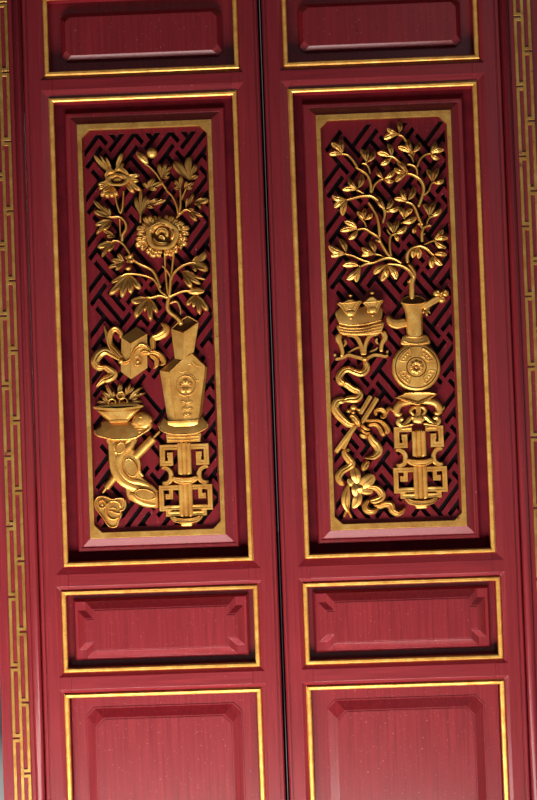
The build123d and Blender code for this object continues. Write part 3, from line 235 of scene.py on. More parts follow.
def lobed(relief, foot, fingers, rise=12.0, tilt=0.14, notch=0.62, spread=0.34, vein=1.3, ribs=0.5,
          shade=0.12, round_off=0.16, power=1.8, crown=2.4):
    """Leaf or petal of several lobes round one foot, ribbed, and rolled under along its edge, with painted
    shade on its face, between its lobes, along its midrib and under its edge.
    """
    foot = np.array(foot, float)
    reach = np.array(fingers, float) - foot
    mean = math.atan2(reach[:, 1].sum(), reach[:, 0].sum())
    angles = (np.arctan2(reach[:, 1], reach[:, 0]) - mean + math.pi) % (2 * math.pi) - math.pi
    order = np.argsort(angles)
    angles, lengths = angles[order] + mean, np.linalg.norm(reach, axis=1)[order]
    between = (angles[:-1] + angles[1:]) / 2
    starts = np.concatenate([[angles[0] - spread], between])
    ends = np.concatenate([between, [angles[-1] + spread]])
    notches = notch * np.minimum(lengths[:-1], lengths[1:])
    start_reach = np.concatenate([[0.3 * lengths[0]], notches])
    end_reach = np.concatenate([notches, [0.3 * lengths[-1]]])
    middle = foot[1] + reach[:, 1].mean() * 0.6
    rolled = 1 - round_off * (1 - np.sin(np.linspace(0.35, math.pi / 2, 5)))
    s = np.concatenate([np.linspace(0.04, 1 - round_off, 9), rolled])
    fall = np.sqrt(np.clip(1 - np.clip((s - 1 + round_off) / round_off, 0, 1) ** 2, 0, 1))
    rows = []
    for k in range(len(angles)):
        for t in np.linspace(-1, 1, 13):
            turn = angles[k] + (t * (angles[k] - starts[k]) if t < 0 else t * (ends[k] - angles[k]))
            low = start_reach[k] if t < 0 else end_reach[k]
            radius = low + (lengths[k] - low) * (1 - abs(t) ** power) ** 0.75
            place = foot + s[:, None] * radius * np.array([math.cos(turn), math.sin(turn)])
            height = rise * (0.55 + 0.45 * np.sin(s * math.pi / 2)) + s * (
                crown * (1 - t * t) - vein * math.exp(-(t / 0.14) ** 2) + ribs * math.cos(5 * math.pi * t))
            height = (height - tilt * (place[:, 1] - middle)) * (0.3 + 0.7 * fall)
            crease = 0.5 * (1 - s ** 6) * math.exp(-(t / 0.13) ** 2)
            painted_shade_value = np.clip(shade * (1 - s ** 5) + s * (0.3 * crown * abs(t) ** 8 + crease), 0, 1)
            under = foot + 0.88 * (place[-1] - foot)
            rows.append(np.vstack([[foot[0], foot[1], 0, shade],
                                   np.column_stack([place, np.maximum(height, 0.8), painted_shade_value]),
                                   [under[0], under[1], 0, 1]]))
    flat = [row * [1, 1, 0, 1] for row in (rows[0], rows[-1])]
    relief.sheet([flat[0]] + rows + [flat[1]])


def dome(relief, u, v, ru, rv, rise, low=3.0, power=2.0, turn=0.0, count=30, rings=7, wave=0.0, waves=0):
    """Boss on an oval foot."""
    angle = np.linspace(0, 2 * math.pi, count, endpoint=False)
    reach = 1 + wave * np.cos(waves * angle)
    c, s = math.cos(turn), math.sin(turn)
    rows = []
    rims = [(0.8, 0.0)] + [(math.sin(a), None) for a in np.linspace(math.pi / 2, 0.02, rings + 1)]
    for r, level in rims:
        height = level if level is not None else low + (rise - low) * (1 - r ** power) ** (1 / power)
        a, b = ru * r * reach * np.cos(angle), rv * r * reach * np.sin(angle)
        rows.append(np.stack([u + a * c - b * s, v + a * s + b * c, np.full(count, height)], axis=1))
    relief.sheet(rows, closed=True, caps=True)


def inset(outline, amount):
    """Closed outline drawn inwards by this amount, mitred at its corners."""
    outline = np.asarray(outline, float)
    u, v = outline[:, 0], outline[:, 1]
    area = np.sum(u * np.roll(v, -1) - v * np.roll(u, -1))
    ahead = np.roll(outline, -1, axis=0) - outline
    ahead = ahead / np.maximum(np.linalg.norm(ahead, axis=1), 1e-9)[:, None]
    normal = np.stack([-ahead[:, 1], ahead[:, 0]], axis=1) * (1 if area > 0 else -1)
    before = np.roll(normal, 1, axis=0)
    share = amount / np.maximum(1 + np.sum(normal * before, axis=1), 0.5)
    return outline + (normal + before) * share[:, None]


moulded_edge = 2.0


def slab(relief, outline, layers, smooth=0.0, tilt=0.0, shade=0.0):
    """Flat carved piece; layers are (inset, height) from its edge inwards.

    A tilt turns its face up, and the painted shade starts beyond its moulded edge.
    """
    if smooth:
        outline = spline(outline, smooth, closed=True)[0][:-1, :2]
    middle = np.mean(np.asarray(outline, float)[:, 1])
    rows = [np.column_stack([inset(outline, 0.6), np.zeros((len(outline), 2))])]
    for amount, height in layers:
        place = inset(outline, amount)
        rows.append(np.column_stack([place, np.maximum(height - tilt * (place[:, 1] - middle), 1.0),
                                     np.full(len(outline), shade if amount > moulded_edge else 0.0)]))
    relief.sheet(rows, closed=True, caps=True)


def strap(relief, points, width, height, incised=0.8, closed=False):
    """Square key-fret bar along straight runs, with a line cut along its middle."""
    points = np.array(points, float)
    ahead = np.roll(points, -1, axis=0) - points
    if not closed:
        ahead[-1] = ahead[-2]
    ahead = ahead / np.linalg.norm(ahead, axis=1)[:, None]
    before = np.roll(ahead, 1, axis=0)
    if not closed:
        before[0] = ahead[0]
    normal = np.stack([-ahead[:, 1], ahead[:, 0]], axis=1)
    normal_before = np.stack([-before[:, 1], before[:, 0]], axis=1)
    mitre = (normal + normal_before) / (1 + np.sum(normal * normal_before, axis=1))[:, None]
    t = np.array([-0.94, -1.0, -0.82, -0.2, -0.08, 0.08, 0.2, 0.82, 1.0, 0.94]) * width / 2
    h = np.array([0, height * 0.86, height, height, height - incised, height - incised, height, height,
                  height * 0.86, 0])
    rows = [np.column_stack([p + m * t[:, None], h]) for p, m in zip(points, mitre)]
    if closed:
        rows.append(rows[0])
    relief.sheet(rows, caps=not closed)


def facets(relief, corners, faces):
    """Flat faces of (painted shade, corner names), with crisp edges between them."""
    for shade, *names in faces:
        relief.add([(*corners[name], shade) for name in names], [list(range(len(names)))])


def skirt(relief, rim):
    """Wall from a rim of (u, v, h) down to the fret."""
    relief.sheet([rim, [(u, v, 0) for u, v, _ in rim]], closed=True)


def arrises(relief, corners, lines, width, lift):
    """Fine raised bar between the corners of each pair named."""
    for line in lines:
        (u0, v0, h0), (u1, v1, h1) = (corners[name] for name in line)
        middle = ((u0 + u1) / 2, (v0 + v1) / 2, width, (h0 + h1) / 2 + lift)
        sweep(relief, [(u0, v0, width, h0 + lift), middle, (u1, v1, width, h1 + lift)], side=0.85, sections=6)


def leaf_fan(relief, foot, fingers, rise=11.5, tilt=0.20):
    """Peony leaf with rolled tips."""
    lobed(relief, foot, fingers, rise, tilt, 0.60, shade=0.42, round_off=0.22)


def petal_ring(relief, u, v, inner, outer, flatten, petals, rise, start):
    """Ring of scalloped petals, each with three tips."""
    for k in range(petals):
        turn = start + 2 * math.pi * k / petals
        reach = outer * (1 + 0.06 * math.sin(5 * k + start))
        spread = math.pi / petals * 0.75
        foot = (u + inner * math.cos(turn), v + inner * flatten * math.sin(turn))
        ends = []
        for step in (-1, 0, 1):
            angle = turn + spread * step
            far = reach * (1 - 0.07 * step * step)
            ends.append((u + far * math.cos(angle), v + far * flatten * math.sin(angle)))
        lobed(relief, foot, ends, rise + 2.0 * (k % 2), 0.06, notch=0.92, spread=0.20, vein=0.3, ribs=0.9,
              shade=0.4, round_off=0.20, power=2.6, crown=1.3)


def bowl(relief, u, v, ru, rv, lip, high, floor=7.0):
    """Hollow cup with a rolled lip, higher at its lower edge; its floor, its foot and the inner side of its
    lip are darkened with painted shade.
    """
    count = 40
    angle = np.linspace(0, 2 * math.pi, count, endpoint=False)
    ruffle = 1 + 0.035 * np.sin(5 * angle + 0.5)
    low_side = 0.5 - 0.5 * np.sin(angle)
    rows = []
    for r, share, shade in ((1.0, 0.2, 0.6), (1.08, 0.6, 0.1), (1.06, 0.9, 0.0), (1.0 - lip * 0.3, 1.0, 0.0),
                            (1.0 - lip * 0.8, 0.94, 0.05), (1.0 - lip * 1.1, 0.75, 0.5)):
        height = floor + (high - floor) * share * (0.72 + 0.28 * low_side)
        rows.append(np.stack([u + ru * r * ruffle * np.cos(angle), v + rv * r * ruffle * np.sin(angle),
                              height, np.full(count, shade)], axis=1))
    for r in (1.0 - lip * 1.25, 0.3, 0.02):
        rows.append(np.stack([u + ru * r * np.cos(angle), v + rv * r * np.sin(angle), np.full(count, floor),
                              np.full(count, 1.0)], axis=1))
    base = rows[0] * [1, 1, 0, 1]
    relief.sheet([base] + rows, closed=True, caps=True)


# Left leaf's carvings

peony_stems = [
    ([(68, 522), (64, 533), (55, 543), (43, 553), (38, 566), (42, 590)], (12, 10, 9), (13, 12, 11)),
    ([(42, 585), (45, 605), (47, 625), (46, 634), (36, 650), (28, 656)], (8, 7, 4), (11, 10, 8)),
    ([(40, 590), (36, 640), (36, 684)], (6, 5, 5), (9, 8, 8)),
    ([(48, 628), (56, 682)], (6, 5), (9, 8)),
    ([(46, 620), (54, 638), (70, 652), (92, 660), (112, 657)], (7, 6, 4), (11, 12, 9)),
    ([(42, 582), (35, 590), (24, 600), (16, 618), (4, 630), (-20, 638), (-48, 641), (-62, 636)], (7, 6, 5),
     (11, 12, 9)),
    ([(24, 606), (12, 640), (0, 652), (-20, 662), (-36, 674), (-45, 692), (-58, 710), (-74, 716), (-84, 710)],
     (8, 6, 4), (10, 12, 8)),
    ([(-58, 712), (-56, 728), (-48, 742), (-50, 758), (-62, 768), (-80, 768), (-94, 772)], (7, 6, 5),
     (10, 12, 12)),
    ([(-61, 724), (-62, 765)], (4, 4), (6, 6)),
    ([(-60, 776), (-66, 795), (-71, 822)], (6, 4), (9, 8)),
    ([(-60, 774), (-54, 792), (-51, 826)], (6, 4), (9, 8)),
    ([(70, 766), (66, 788), (58, 808), (46, 822), (40, 834)], (7, 5, 4), (11, 10, 8)),
    ([(72, 768), (75, 795), (75, 822), (72, 838)], (7, 5, 4), (11, 10, 8)),
    ([(76, 800), (86, 822), (92, 836)], (5, 4), (8, 8)),
    ([(70, 768), (84, 778), (96, 774), (110, 764)], (7, 5, 3), (12, 11, 8)),
    ([(58, 752), (72, 770)], (6, 6), (8, 10)),
    ([(-16, 752), (-15, 770), (-13, 788)], (5, 4), (9, 9)),
    ([(42, 586), (56, 592), (75, 598), (96, 597)], (7, 5), (11, 10)),
    ([(40, 584), (22, 590), (4, 586), (-8, 588)], (7, 6, 6), (11, 12, 12)),
    ([(42, 572), (58, 576), (66, 560), (66, 545)], (6, 5), (6, 5)),
    ([(44, 826), (32, 846), (24, 860), (8, 878), (-4, 886)], (6, 5, 4), (10, 11, 9)),
    ([(96, 846), (88, 862), (78, 874)], (6, 5), (10, 11)),
]
peony_fans = [
    ((-46, 640), [(-90, 596), (-62, 588), (-42, 596), (-20, 606), (-84, 622)]),
    ((-2, 586), [(-43, 581), (-33, 541), (-14, 556), (0, 534), (15, 552)]),
    ((102, 590), [(80, 566), (109, 544), (127, 552), (96, 560)]),
    ((72, 642), [(94, 604), (113, 612), (125, 622), (100, 634)]),
    ((-54, 668), [(-90, 656), (-84, 672), (-68, 688), (-74, 650)]),
    ((-72, 714), [(-113, 703), (-103, 679), (-90, 692)]),
    ((-72, 724), [(-100, 741), (-92, 726)]),
    ((-80, 768), [(-118, 809), (-97, 796), (-86, 790), (-118, 784)]),
    ((-78, 762), [(-114, 731), (-98, 738), (-116, 752)]),
    ((-15, 768), [(-23, 811), (-2, 813), (-12, 832)]),
    ((-6, 790), [(14, 786), (26, 806), (43, 803), (8, 806)]),
    ((2, 828), [(40, 842), (20, 850), (-8, 842), (24, 826)]),
    ((34, 850), [(30, 884), (47, 884), (58, 876), (54, 864), (52, 853)]),
    ((96, 844), [(62, 886), (99, 897), (112, 880), (116, 853)]),
    ((76, 824), [(64, 846), (78, 856), (62, 828)]),
    ((84, 826), [(106, 838), (102, 826), (92, 842)]),
    ((88, 780), [(124, 762), (110, 752), (106, 776)]),
    ((86, 782), [(104, 815), (94, 806)]),
    ((104, 796), [(118, 778), (138, 799), (110, 788)]),
    ((94, 658), [(126, 686), (112, 676), (130, 641), (104, 640)]),
    ((-34, 668), [(-54, 680), (-50, 668)]),
]


def open_flower(relief, u, v, radius, flatten, cup, petals, tall, start):
    """Peony from in front: two rings of ruffled petals round a hollow cup with curled petals in it."""
    petal_ring(relief, u, v, cup * 0.6, radius, flatten, petals, 9.0, start)
    petal_ring(relief, u, v, cup * 0.6, radius * 0.80, flatten, petals - 1, 13.0, start + 0.35)
    bowl(relief, u, v, cup, cup * 0.90, 0.24, tall, floor=8.0)
    for points, widths, heights in (
            ([(-24, 6), (-18, 18), (-2, 23), (12, 18)], (9, 13, 8), (17, 21, 16)),
            ([(20, 16), (24, 2), (18, -12)], (9, 12, 8), (16, 20, 16)),
            ([(-14, 2), (-4, 12), (8, 8), (9, -4)], (8, 12, 7), (15, 20, 14)),
            ([(-22, -4), (-14, -16), (2, -20), (12, -16)], (8, 12, 8), (16, 20, 15)),
            ([(-10, -6), (-2, -4), (4, -12)], (7, 10, 6), (13, 18, 13))):
        curl = [(u + a * cup / 33, v + b * cup / 33) for a, b in points]
        sweep(relief, tapered(curl, widths, heights), fluted(2, 0.2, 0.3), side=0.3, sections=12)


def carve_peony():
    """Peony branch with two open flowers, buds and ribbed leaves."""
    relief = Relief()
    bars(relief, peony_stems, sections=8, side=0.25)
    for foot, fingers in peony_fans:
        leaf_fan(relief, foot, fingers)
    open_flower(relief, 33, 722, 62, 0.82, 34, 8, 19.0, start=0.35)
    for foot, ends, rise in (
            ((40, 742), [(44, 770), (54, 764)], 10), ((56, 740), [(66, 760), (78, 752)], 11),
            ((6, 744), [(-8, 766), (8, 770), (16, 764)], 11)):
        lobed(relief, foot, ends, rise, 0.05, notch=0.85, spread=0.4, round_off=0.3, power=2.4)
    # The half-open flower at the upper left
    lobed(relief, (-72, 858), [(-114, 909), (-101, 908), (-88, 903)], 12, 0.02, notch=0.5, spread=0.2,
          vein=0.6)
    lobed(relief, (-66, 862), [(-50, 911), (-48, 888)], 11, 0.04, notch=0.72, spread=0.3)
    lobed(relief, (-50, 852), [(-14, 860), (-16, 846), (-12, 824), (-28, 820)], 11, 0.06, notch=0.75,
          spread=0.3)
    lobed(relief, (-70, 846), [(-108, 842), (-106, 832), (-97, 822)], 10, 0.16, notch=0.85, spread=0.3,
          shade=0.3)
    lobed(relief, (-80, 842), [(-101, 815), (-88, 811), (-76, 811), (-64, 815)], 12, 0.22, notch=0.86,
          spread=0.3, vein=0.5, round_off=0.28, power=2.6)
    bowl(relief, -62, 849, 25, 13, 0.34, 18.0, floor=9.0)
    bars(relief, [
        ([(-90, 856), (-78, 867), (-66, 863)], (9, 13, 8), (15, 19, 16)),
        ([(-68, 866), (-58, 873), (-46, 866), (-38, 856)], (9, 13, 8), (15, 20, 15)),
        ([(-80, 852), (-66, 859), (-52, 855), (-44, 849)], (7, 12, 7), (14, 19, 14)),
        ([(-72, 846), (-62, 850), (-54, 845)], (6, 9, 6), (13, 17, 13))
    ], fluted(2, 0.2, 0.3), side=0.3)
    # Buds
    dome(relief, 15, 908, 12, 12, 15.0, low=4.0)
    blade(relief, (6, 884), (-19, 911), 15, (8, 12, 7), crown=4.0, groove=2.4)
    blade(relief, (84, 597), (121, 596), 15, (8, 13, 8), foot_power=0.5, tip_power=0.5, crown=3.5, groove=3.0)
    dome(relief, -46, 653, 7, 5, 13.0, low=5.0)
    dome(relief, -38, 669, 6, 5, 14.0, low=5.0)
    dome(relief, -40, 680, 7, 7, 13.0, low=4.0)
    return relief


def carve_vase():
    """Square vase seen on its corner, with a flaring neck and plain scrolls on its face."""
    relief = Relief()
    corners = {
        "left top": (16, 424, 4.5), "edge top": (38, 419, 16.0), "shoulder": (62, 441, 15.2),
        "right shoulder": (89, 458, 12.5), "right top": (117, 429, 13.0), "far top": (121.5, 427, 4.5),
        "left foot": (30, 313, 3.5), "edge foot": (48, 313, 14.0), "right foot": (98, 313, 12.0),
        "far foot": (104.5, 315, 3.5), "left neck": (50, 450, 6.0), "far neck": (94, 461, 4.0),
    }
    facets(relief, corners, [
        (0.0, "left top", "edge top", "edge foot", "left foot"),
        (0.12, "edge top", "shoulder", "right shoulder", "right top", "right foot", "edge foot"),
        (0.3, "right top", "far top", "far foot", "right foot"),
        (0.5, "left top", "left neck", "shoulder", "edge top"),
        (0.4, "right shoulder", "far neck", "far top", "right top"),
        (0.4, "left neck", "far neck", "right shoulder", "shoulder"),
    ])
    around = ("left top", "left neck", "far neck", "far top", "far foot", "right foot", "edge foot",
              "left foot")
    skirt(relief, [corners[name] for name in around])
    arrises(relief, corners, [
        ("edge top", "edge foot"), ("edge top", "shoulder"), ("shoulder", "right shoulder"),
        ("right shoulder", "right top"), ("right top", "right foot")
    ], 2.4, 0.8)
    neck = {
        "left": (44, 515, 6.0), "edge": (72, 504, 17.5), "right": (106, 528, 7.0), "left low": (51, 446, 7.0),
        "edge low": (70, 443, 15.5), "right low": (93, 462, 8.0),
        "left in": (49, 514, 5.0), "edge in": (72, 508.5, 12.0), "right in": (101, 526.5, 5.5),
    }
    facets(relief, neck, [
        (0.3, "left", "edge", "edge low", "left low"), (0.1, "edge", "right", "right low", "edge low"),
        (0.0, "left", "left in", "edge in", "edge"), (0.0, "edge", "edge in", "right in", "right"),
    ])
    around = ("left", "left in", "edge in", "right in", "right", "right low", "left low")
    skirt(relief, [neck[name] for name in around])
    arrises(relief, neck, [("left", "edge"), ("edge", "right"), ("edge", "edge low")], 2.4, 0.8)
    # Floor of the mouth, darkened with painted shade.
    relief.add([(49, 514, 1.2, 1), (72, 508, 1.2, 1), (101, 526, 1.2, 1), (82, 541, 1.2, 1)], [[0, 1, 2, 3]])
    sweep(relief, [(45, 515, 3.6, 7.5), (62, 530, 3.6, 6.5), (82, 543, 3.6, 6.0)], side=0.5, sections=6)
    sweep(relief, [(81, 543, 3.6, 6.0), (94, 535, 3.6, 6.5), (105, 528, 3.6, 7.5)], side=0.5, sections=6)
    foot = [(29, 313), (30, 303), (46, 297.5), (64, 296), (84, 297.5), (98, 302), (99, 313)]
    slab(relief, foot, [(0, 11), (1.5, 14), (5, 15)], tilt=-0.25)
    sweep(relief, tapered([(48, 313), (64, 309.5), (84, 310), (99, 314)], (4, 4), (15.5, 15.5)), side=0.6)
    # Plain scrolls: a ring with a rosette, a stalk and small leaves
    face = 15.4
    hoop(relief, 73, 388, 21, 22, 3.0, face + 0.9, 16, side=0.9)
    for k in range(5):
        turn = math.pi / 2 + k * 2 * math.pi / 5
        blade(relief, (73 + 3 * math.cos(turn), 388 + 3 * math.sin(turn)),
              (73 + 16 * math.cos(turn), 388 + 17 * math.sin(turn)), 12, (face - 1.0, face - 0.9, face - 1.2),
              foot_power=0.5, tip_power=0.4, crown=0.7, groove=0.8, samples=8, across=10)
    sweep(relief, tapered([(73, 366), (78, 356), (70, 346), (76, 332)], (3, 2.4),
                          (face + 0.6, face - 0.2)), side=0.9)
    for tip in ((90, 352), (58, 354), (88, 338), (60, 338), (84, 326), (64, 325)):
        blade(relief, (73, tip[1] - 4), tip, 9, (face - 1.6, face - 1.3, face - 1.8), crown=0.5,
              groove=0.6, samples=8, across=8)
    for line in ([(58, 424), (66, 418), (76, 421), (80, 415)], [(82, 414), (92, 406), (98, 398), (106, 402)],
                 [(90, 442), (98, 432), (108, 428)], [(92, 430), (84, 436), (76, 432)]):
        sweep(relief, tapered(line, (3.0, 2.0), (face, face - 0.8)), side=0.9)
    return relief


def key_stand(relief, middle, lift, top):
    """Reeded columns with key-fret scrolls on both sides, on a boat-shaped foot."""
    for low, high in ((97 + lift, 176 + lift), (190 + lift, top)):
        sweep(relief, [(middle, low, 31, 13), (middle, (low + high) / 2, 31, 13), (middle, high, 31, 13)],
              reeded(3), sections=30, spacing=4, blunt=0.12)
    scroll = ([(15, 254), (48.5, 254), (48.5, 219), (31, 219), (31, 237), (38, 237)], 12.5, 11.0, 0.8)
    frame_bar = ([(15, 165), (53.5, 165), (53.5, 119.5), (32, 119.5)], 11.5, 11.0, 0.8)
    curl = ([(53.5, 165), (32, 165), (32, 144), (40, 144), (40, 151)], 9.5, 10.6, 0.8)
    foot_bar = ([(15, 121), (40, 121), (40, 107), (12, 107)], 11.0, 10.2, 0.5)
    crescent = [(52, 207), (44, 209), (34, 203), (30.5, 192), (34, 180), (44, 174.5), (52, 178)]
    for way in (-1, 1):
        for points, width, height, incised in (scroll, frame_bar, curl, foot_bar):
            strap(relief, placed(points, middle, way, lift), width, height, incised)
        sweep(relief, [(u, v, w, h) for (u, v), w, h in zip(
            placed(crescent, middle, way, lift), (6, 9, 11, 12, 12, 11, 6), (10, 11, 12, 12, 12, 12, 10))],
            fluted(1, 0.12), side=0.4)
    outer = [(-28, 190), (-28, 180), (-16, 173), (0, 171), (16, 173), (28, 180), (28, 190), (14, 188),
             (0, 187), (-14, 188)]
    slab(relief, placed(outer, middle, 1, lift), [(0, 11), (1.2, 14), (2.4, 15)], smooth=2.5)
    for points, width, height in (([(-27, 182), (-14, 175.5), (0, 174), (14, 175.5), (27, 182)], 4.5, 17.0),
                                  ([(-27, 188), (-14, 185), (0, 184), (14, 185), (27, 188)], 4.0, 16.5)):
        sweep(relief, [(middle + u, v + lift, width, height - 0.05 * abs(u)) for u, v in points], side=0.5)
    boat = [(-35, 103), (-35, 97), (-27, 89), (-14, 85), (-11, 79), (11, 79), (14, 85), (27, 89), (35, 97),
            (35, 103), (22, 100), (0, 98), (-22, 100)]
    slab(relief, placed(boat, middle, 1, lift), [(0, 9), (1.2, 13), (2.4, 14)], smooth=3.0)
    for points, width, height in (([(-33, 99), (-26, 91.5), (-13, 88), (0, 87.5), (13, 88), (26, 91.5),
                                    (33, 99)], 4.5, 17.0),
                                  ([(-31, 102), (-18, 97), (0, 95.5), (18, 97), (31, 102)], 4.0, 16.0)):
        sweep(relief, [(middle + u, v + lift, width, height - 0.05 * abs(u)) for u, v in points], side=0.5)


def carve_vase_stand():
    """Stand of the faceted vase, with a lobed table top."""
    relief = Relief()
    key_stand(relief, 64.5, 0, 266)
    plate = [(9, 303), (14, 292), (26, 285), (44, 281), (64, 280), (86, 281), (104, 286), (117, 294),
             (120, 303), (112, 312), (106, 320), (96, 313), (64, 315), (32, 313), (22, 320), (16, 312)]
    slab(relief, plate, [(0, 9), (1.3, 12.5), (3.0, 13)], smooth=3.0, tilt=0.24, shade=0.5)
    sweep(relief, tapered([(10, 304), (15, 293), (27, 286), (44, 282), (64, 281), (86, 282), (103, 287),
                           (116, 295), (119, 304)], (3, 4.5, 3), (15, 18.5, 15)), side=0.6)
    slab(relief, [(25, 283), (27, 264), (101, 264), (104, 283)], [(0, 11), (1.2, 13)])
    for v, width, height in ((276, 3.5, 15), (269, 3, 14.5)):
        sweep(relief, [(28, v + 1, width, height), (64, v - 1, width, height + 0.5),
                       (100, v + 1, width, height)], side=0.6)
    return relief


def carve_bundle():
    """Boxed book on its corner, with the cloth and ribbon that tie it."""
    relief = Relief()
    box = {
        "left": (-66, 500, 8.0), "back": (-33, 523, 3.0), "right": (-9, 506, 8.0), "near": (-45, 485, 19.0),
        "right low": (-11, 431, 7.0), "near low": (-47, 407, 18.0), "left low": (-70, 425, 6.0),
    }
    facets(relief, box, [
        (0.5, "left", "back", "right", "near"), (0.22, "left", "near", "near low", "left low"),
        (0.0, "near", "right", "right low", "near low"),
    ])
    skirt(relief, [box[name] for name in ("left", "back", "right", "right low", "near low", "left low")])
    arrises(relief, box, [("left", "near"), ("near", "right"), ("near", "near low")], 2.0, 0.7)
    ribbons(relief, [
        ([(-64, 452), (-76, 466), (-90, 484), (-97, 502), (-104, 530)], (10, 14, 10, 3), (15, 13, 9, 5)),
        ([(-68, 452), (-84, 470), (-93, 492), (-90, 512), (-79, 520), (-68, 510), (-69, 498)],
         (8, 11, 12, 12, 5), (14, 12, 10, 9)),
        ([(-66, 450), (-84, 462), (-102, 472), (-118, 464), (-126, 448), (-118, 436), (-104, 436)],
         (9, 15, 19, 18, 8), (15, 13, 12, 16, 14)),
        ([(-110, 440), (-96, 430), (-86, 420), (-98, 411), (-110, 408), (-127, 392)], (8, 16, 18, 16, 3),
         (9, 10, 15, 5)),
        ([(-8, 462), (2, 472), (3, 486), (4, 496), (16, 500), (30, 508), (33, 520), (22, 531)],
         (9, 12, 12, 17, 17, 4), (14, 13, 11, 15, 12)),
        ([(-10, 464), (6, 464), (20, 456), (25, 442), (16, 436)], (9, 13, 13, 4), (15, 14, 12)),
        ([(-6, 460), (8, 450), (9, 438), (2, 428)], (7, 10, 10, 3), (13, 12, 10))
    ])
    bars(relief, [
        ([(-72, 446), (-58, 444), (-46, 450), (-40, 464), (-30, 476), (-16, 476), (-4, 466)],
         (8, 12, 11, 13, 8), (14, 19, 19.5, 17, 14)),
        ([(-34, 470), (-22, 480), (-10, 474), (-4, 464)], (10, 16, 14, 6), (16, 17.5, 16, 13)),
        ([(-26, 462), (-14, 466), (-4, 462)], (8, 12, 6), (16, 17, 14))
    ], fluted(3, 0.22, 0.25), side=0.5, sections=16)
    hoop(relief, -31, 446, 9, 10, 2.4, 16.5, 12, side=0.8)
    dome(relief, -31, 446, 4, 4, 17.0, low=14.0)
    dome(relief, -68, 448, 7, 8, 17.0, low=6.0)
    dome(relief, -6, 464, 7, 6, 17.5, low=6.0)
    return relief


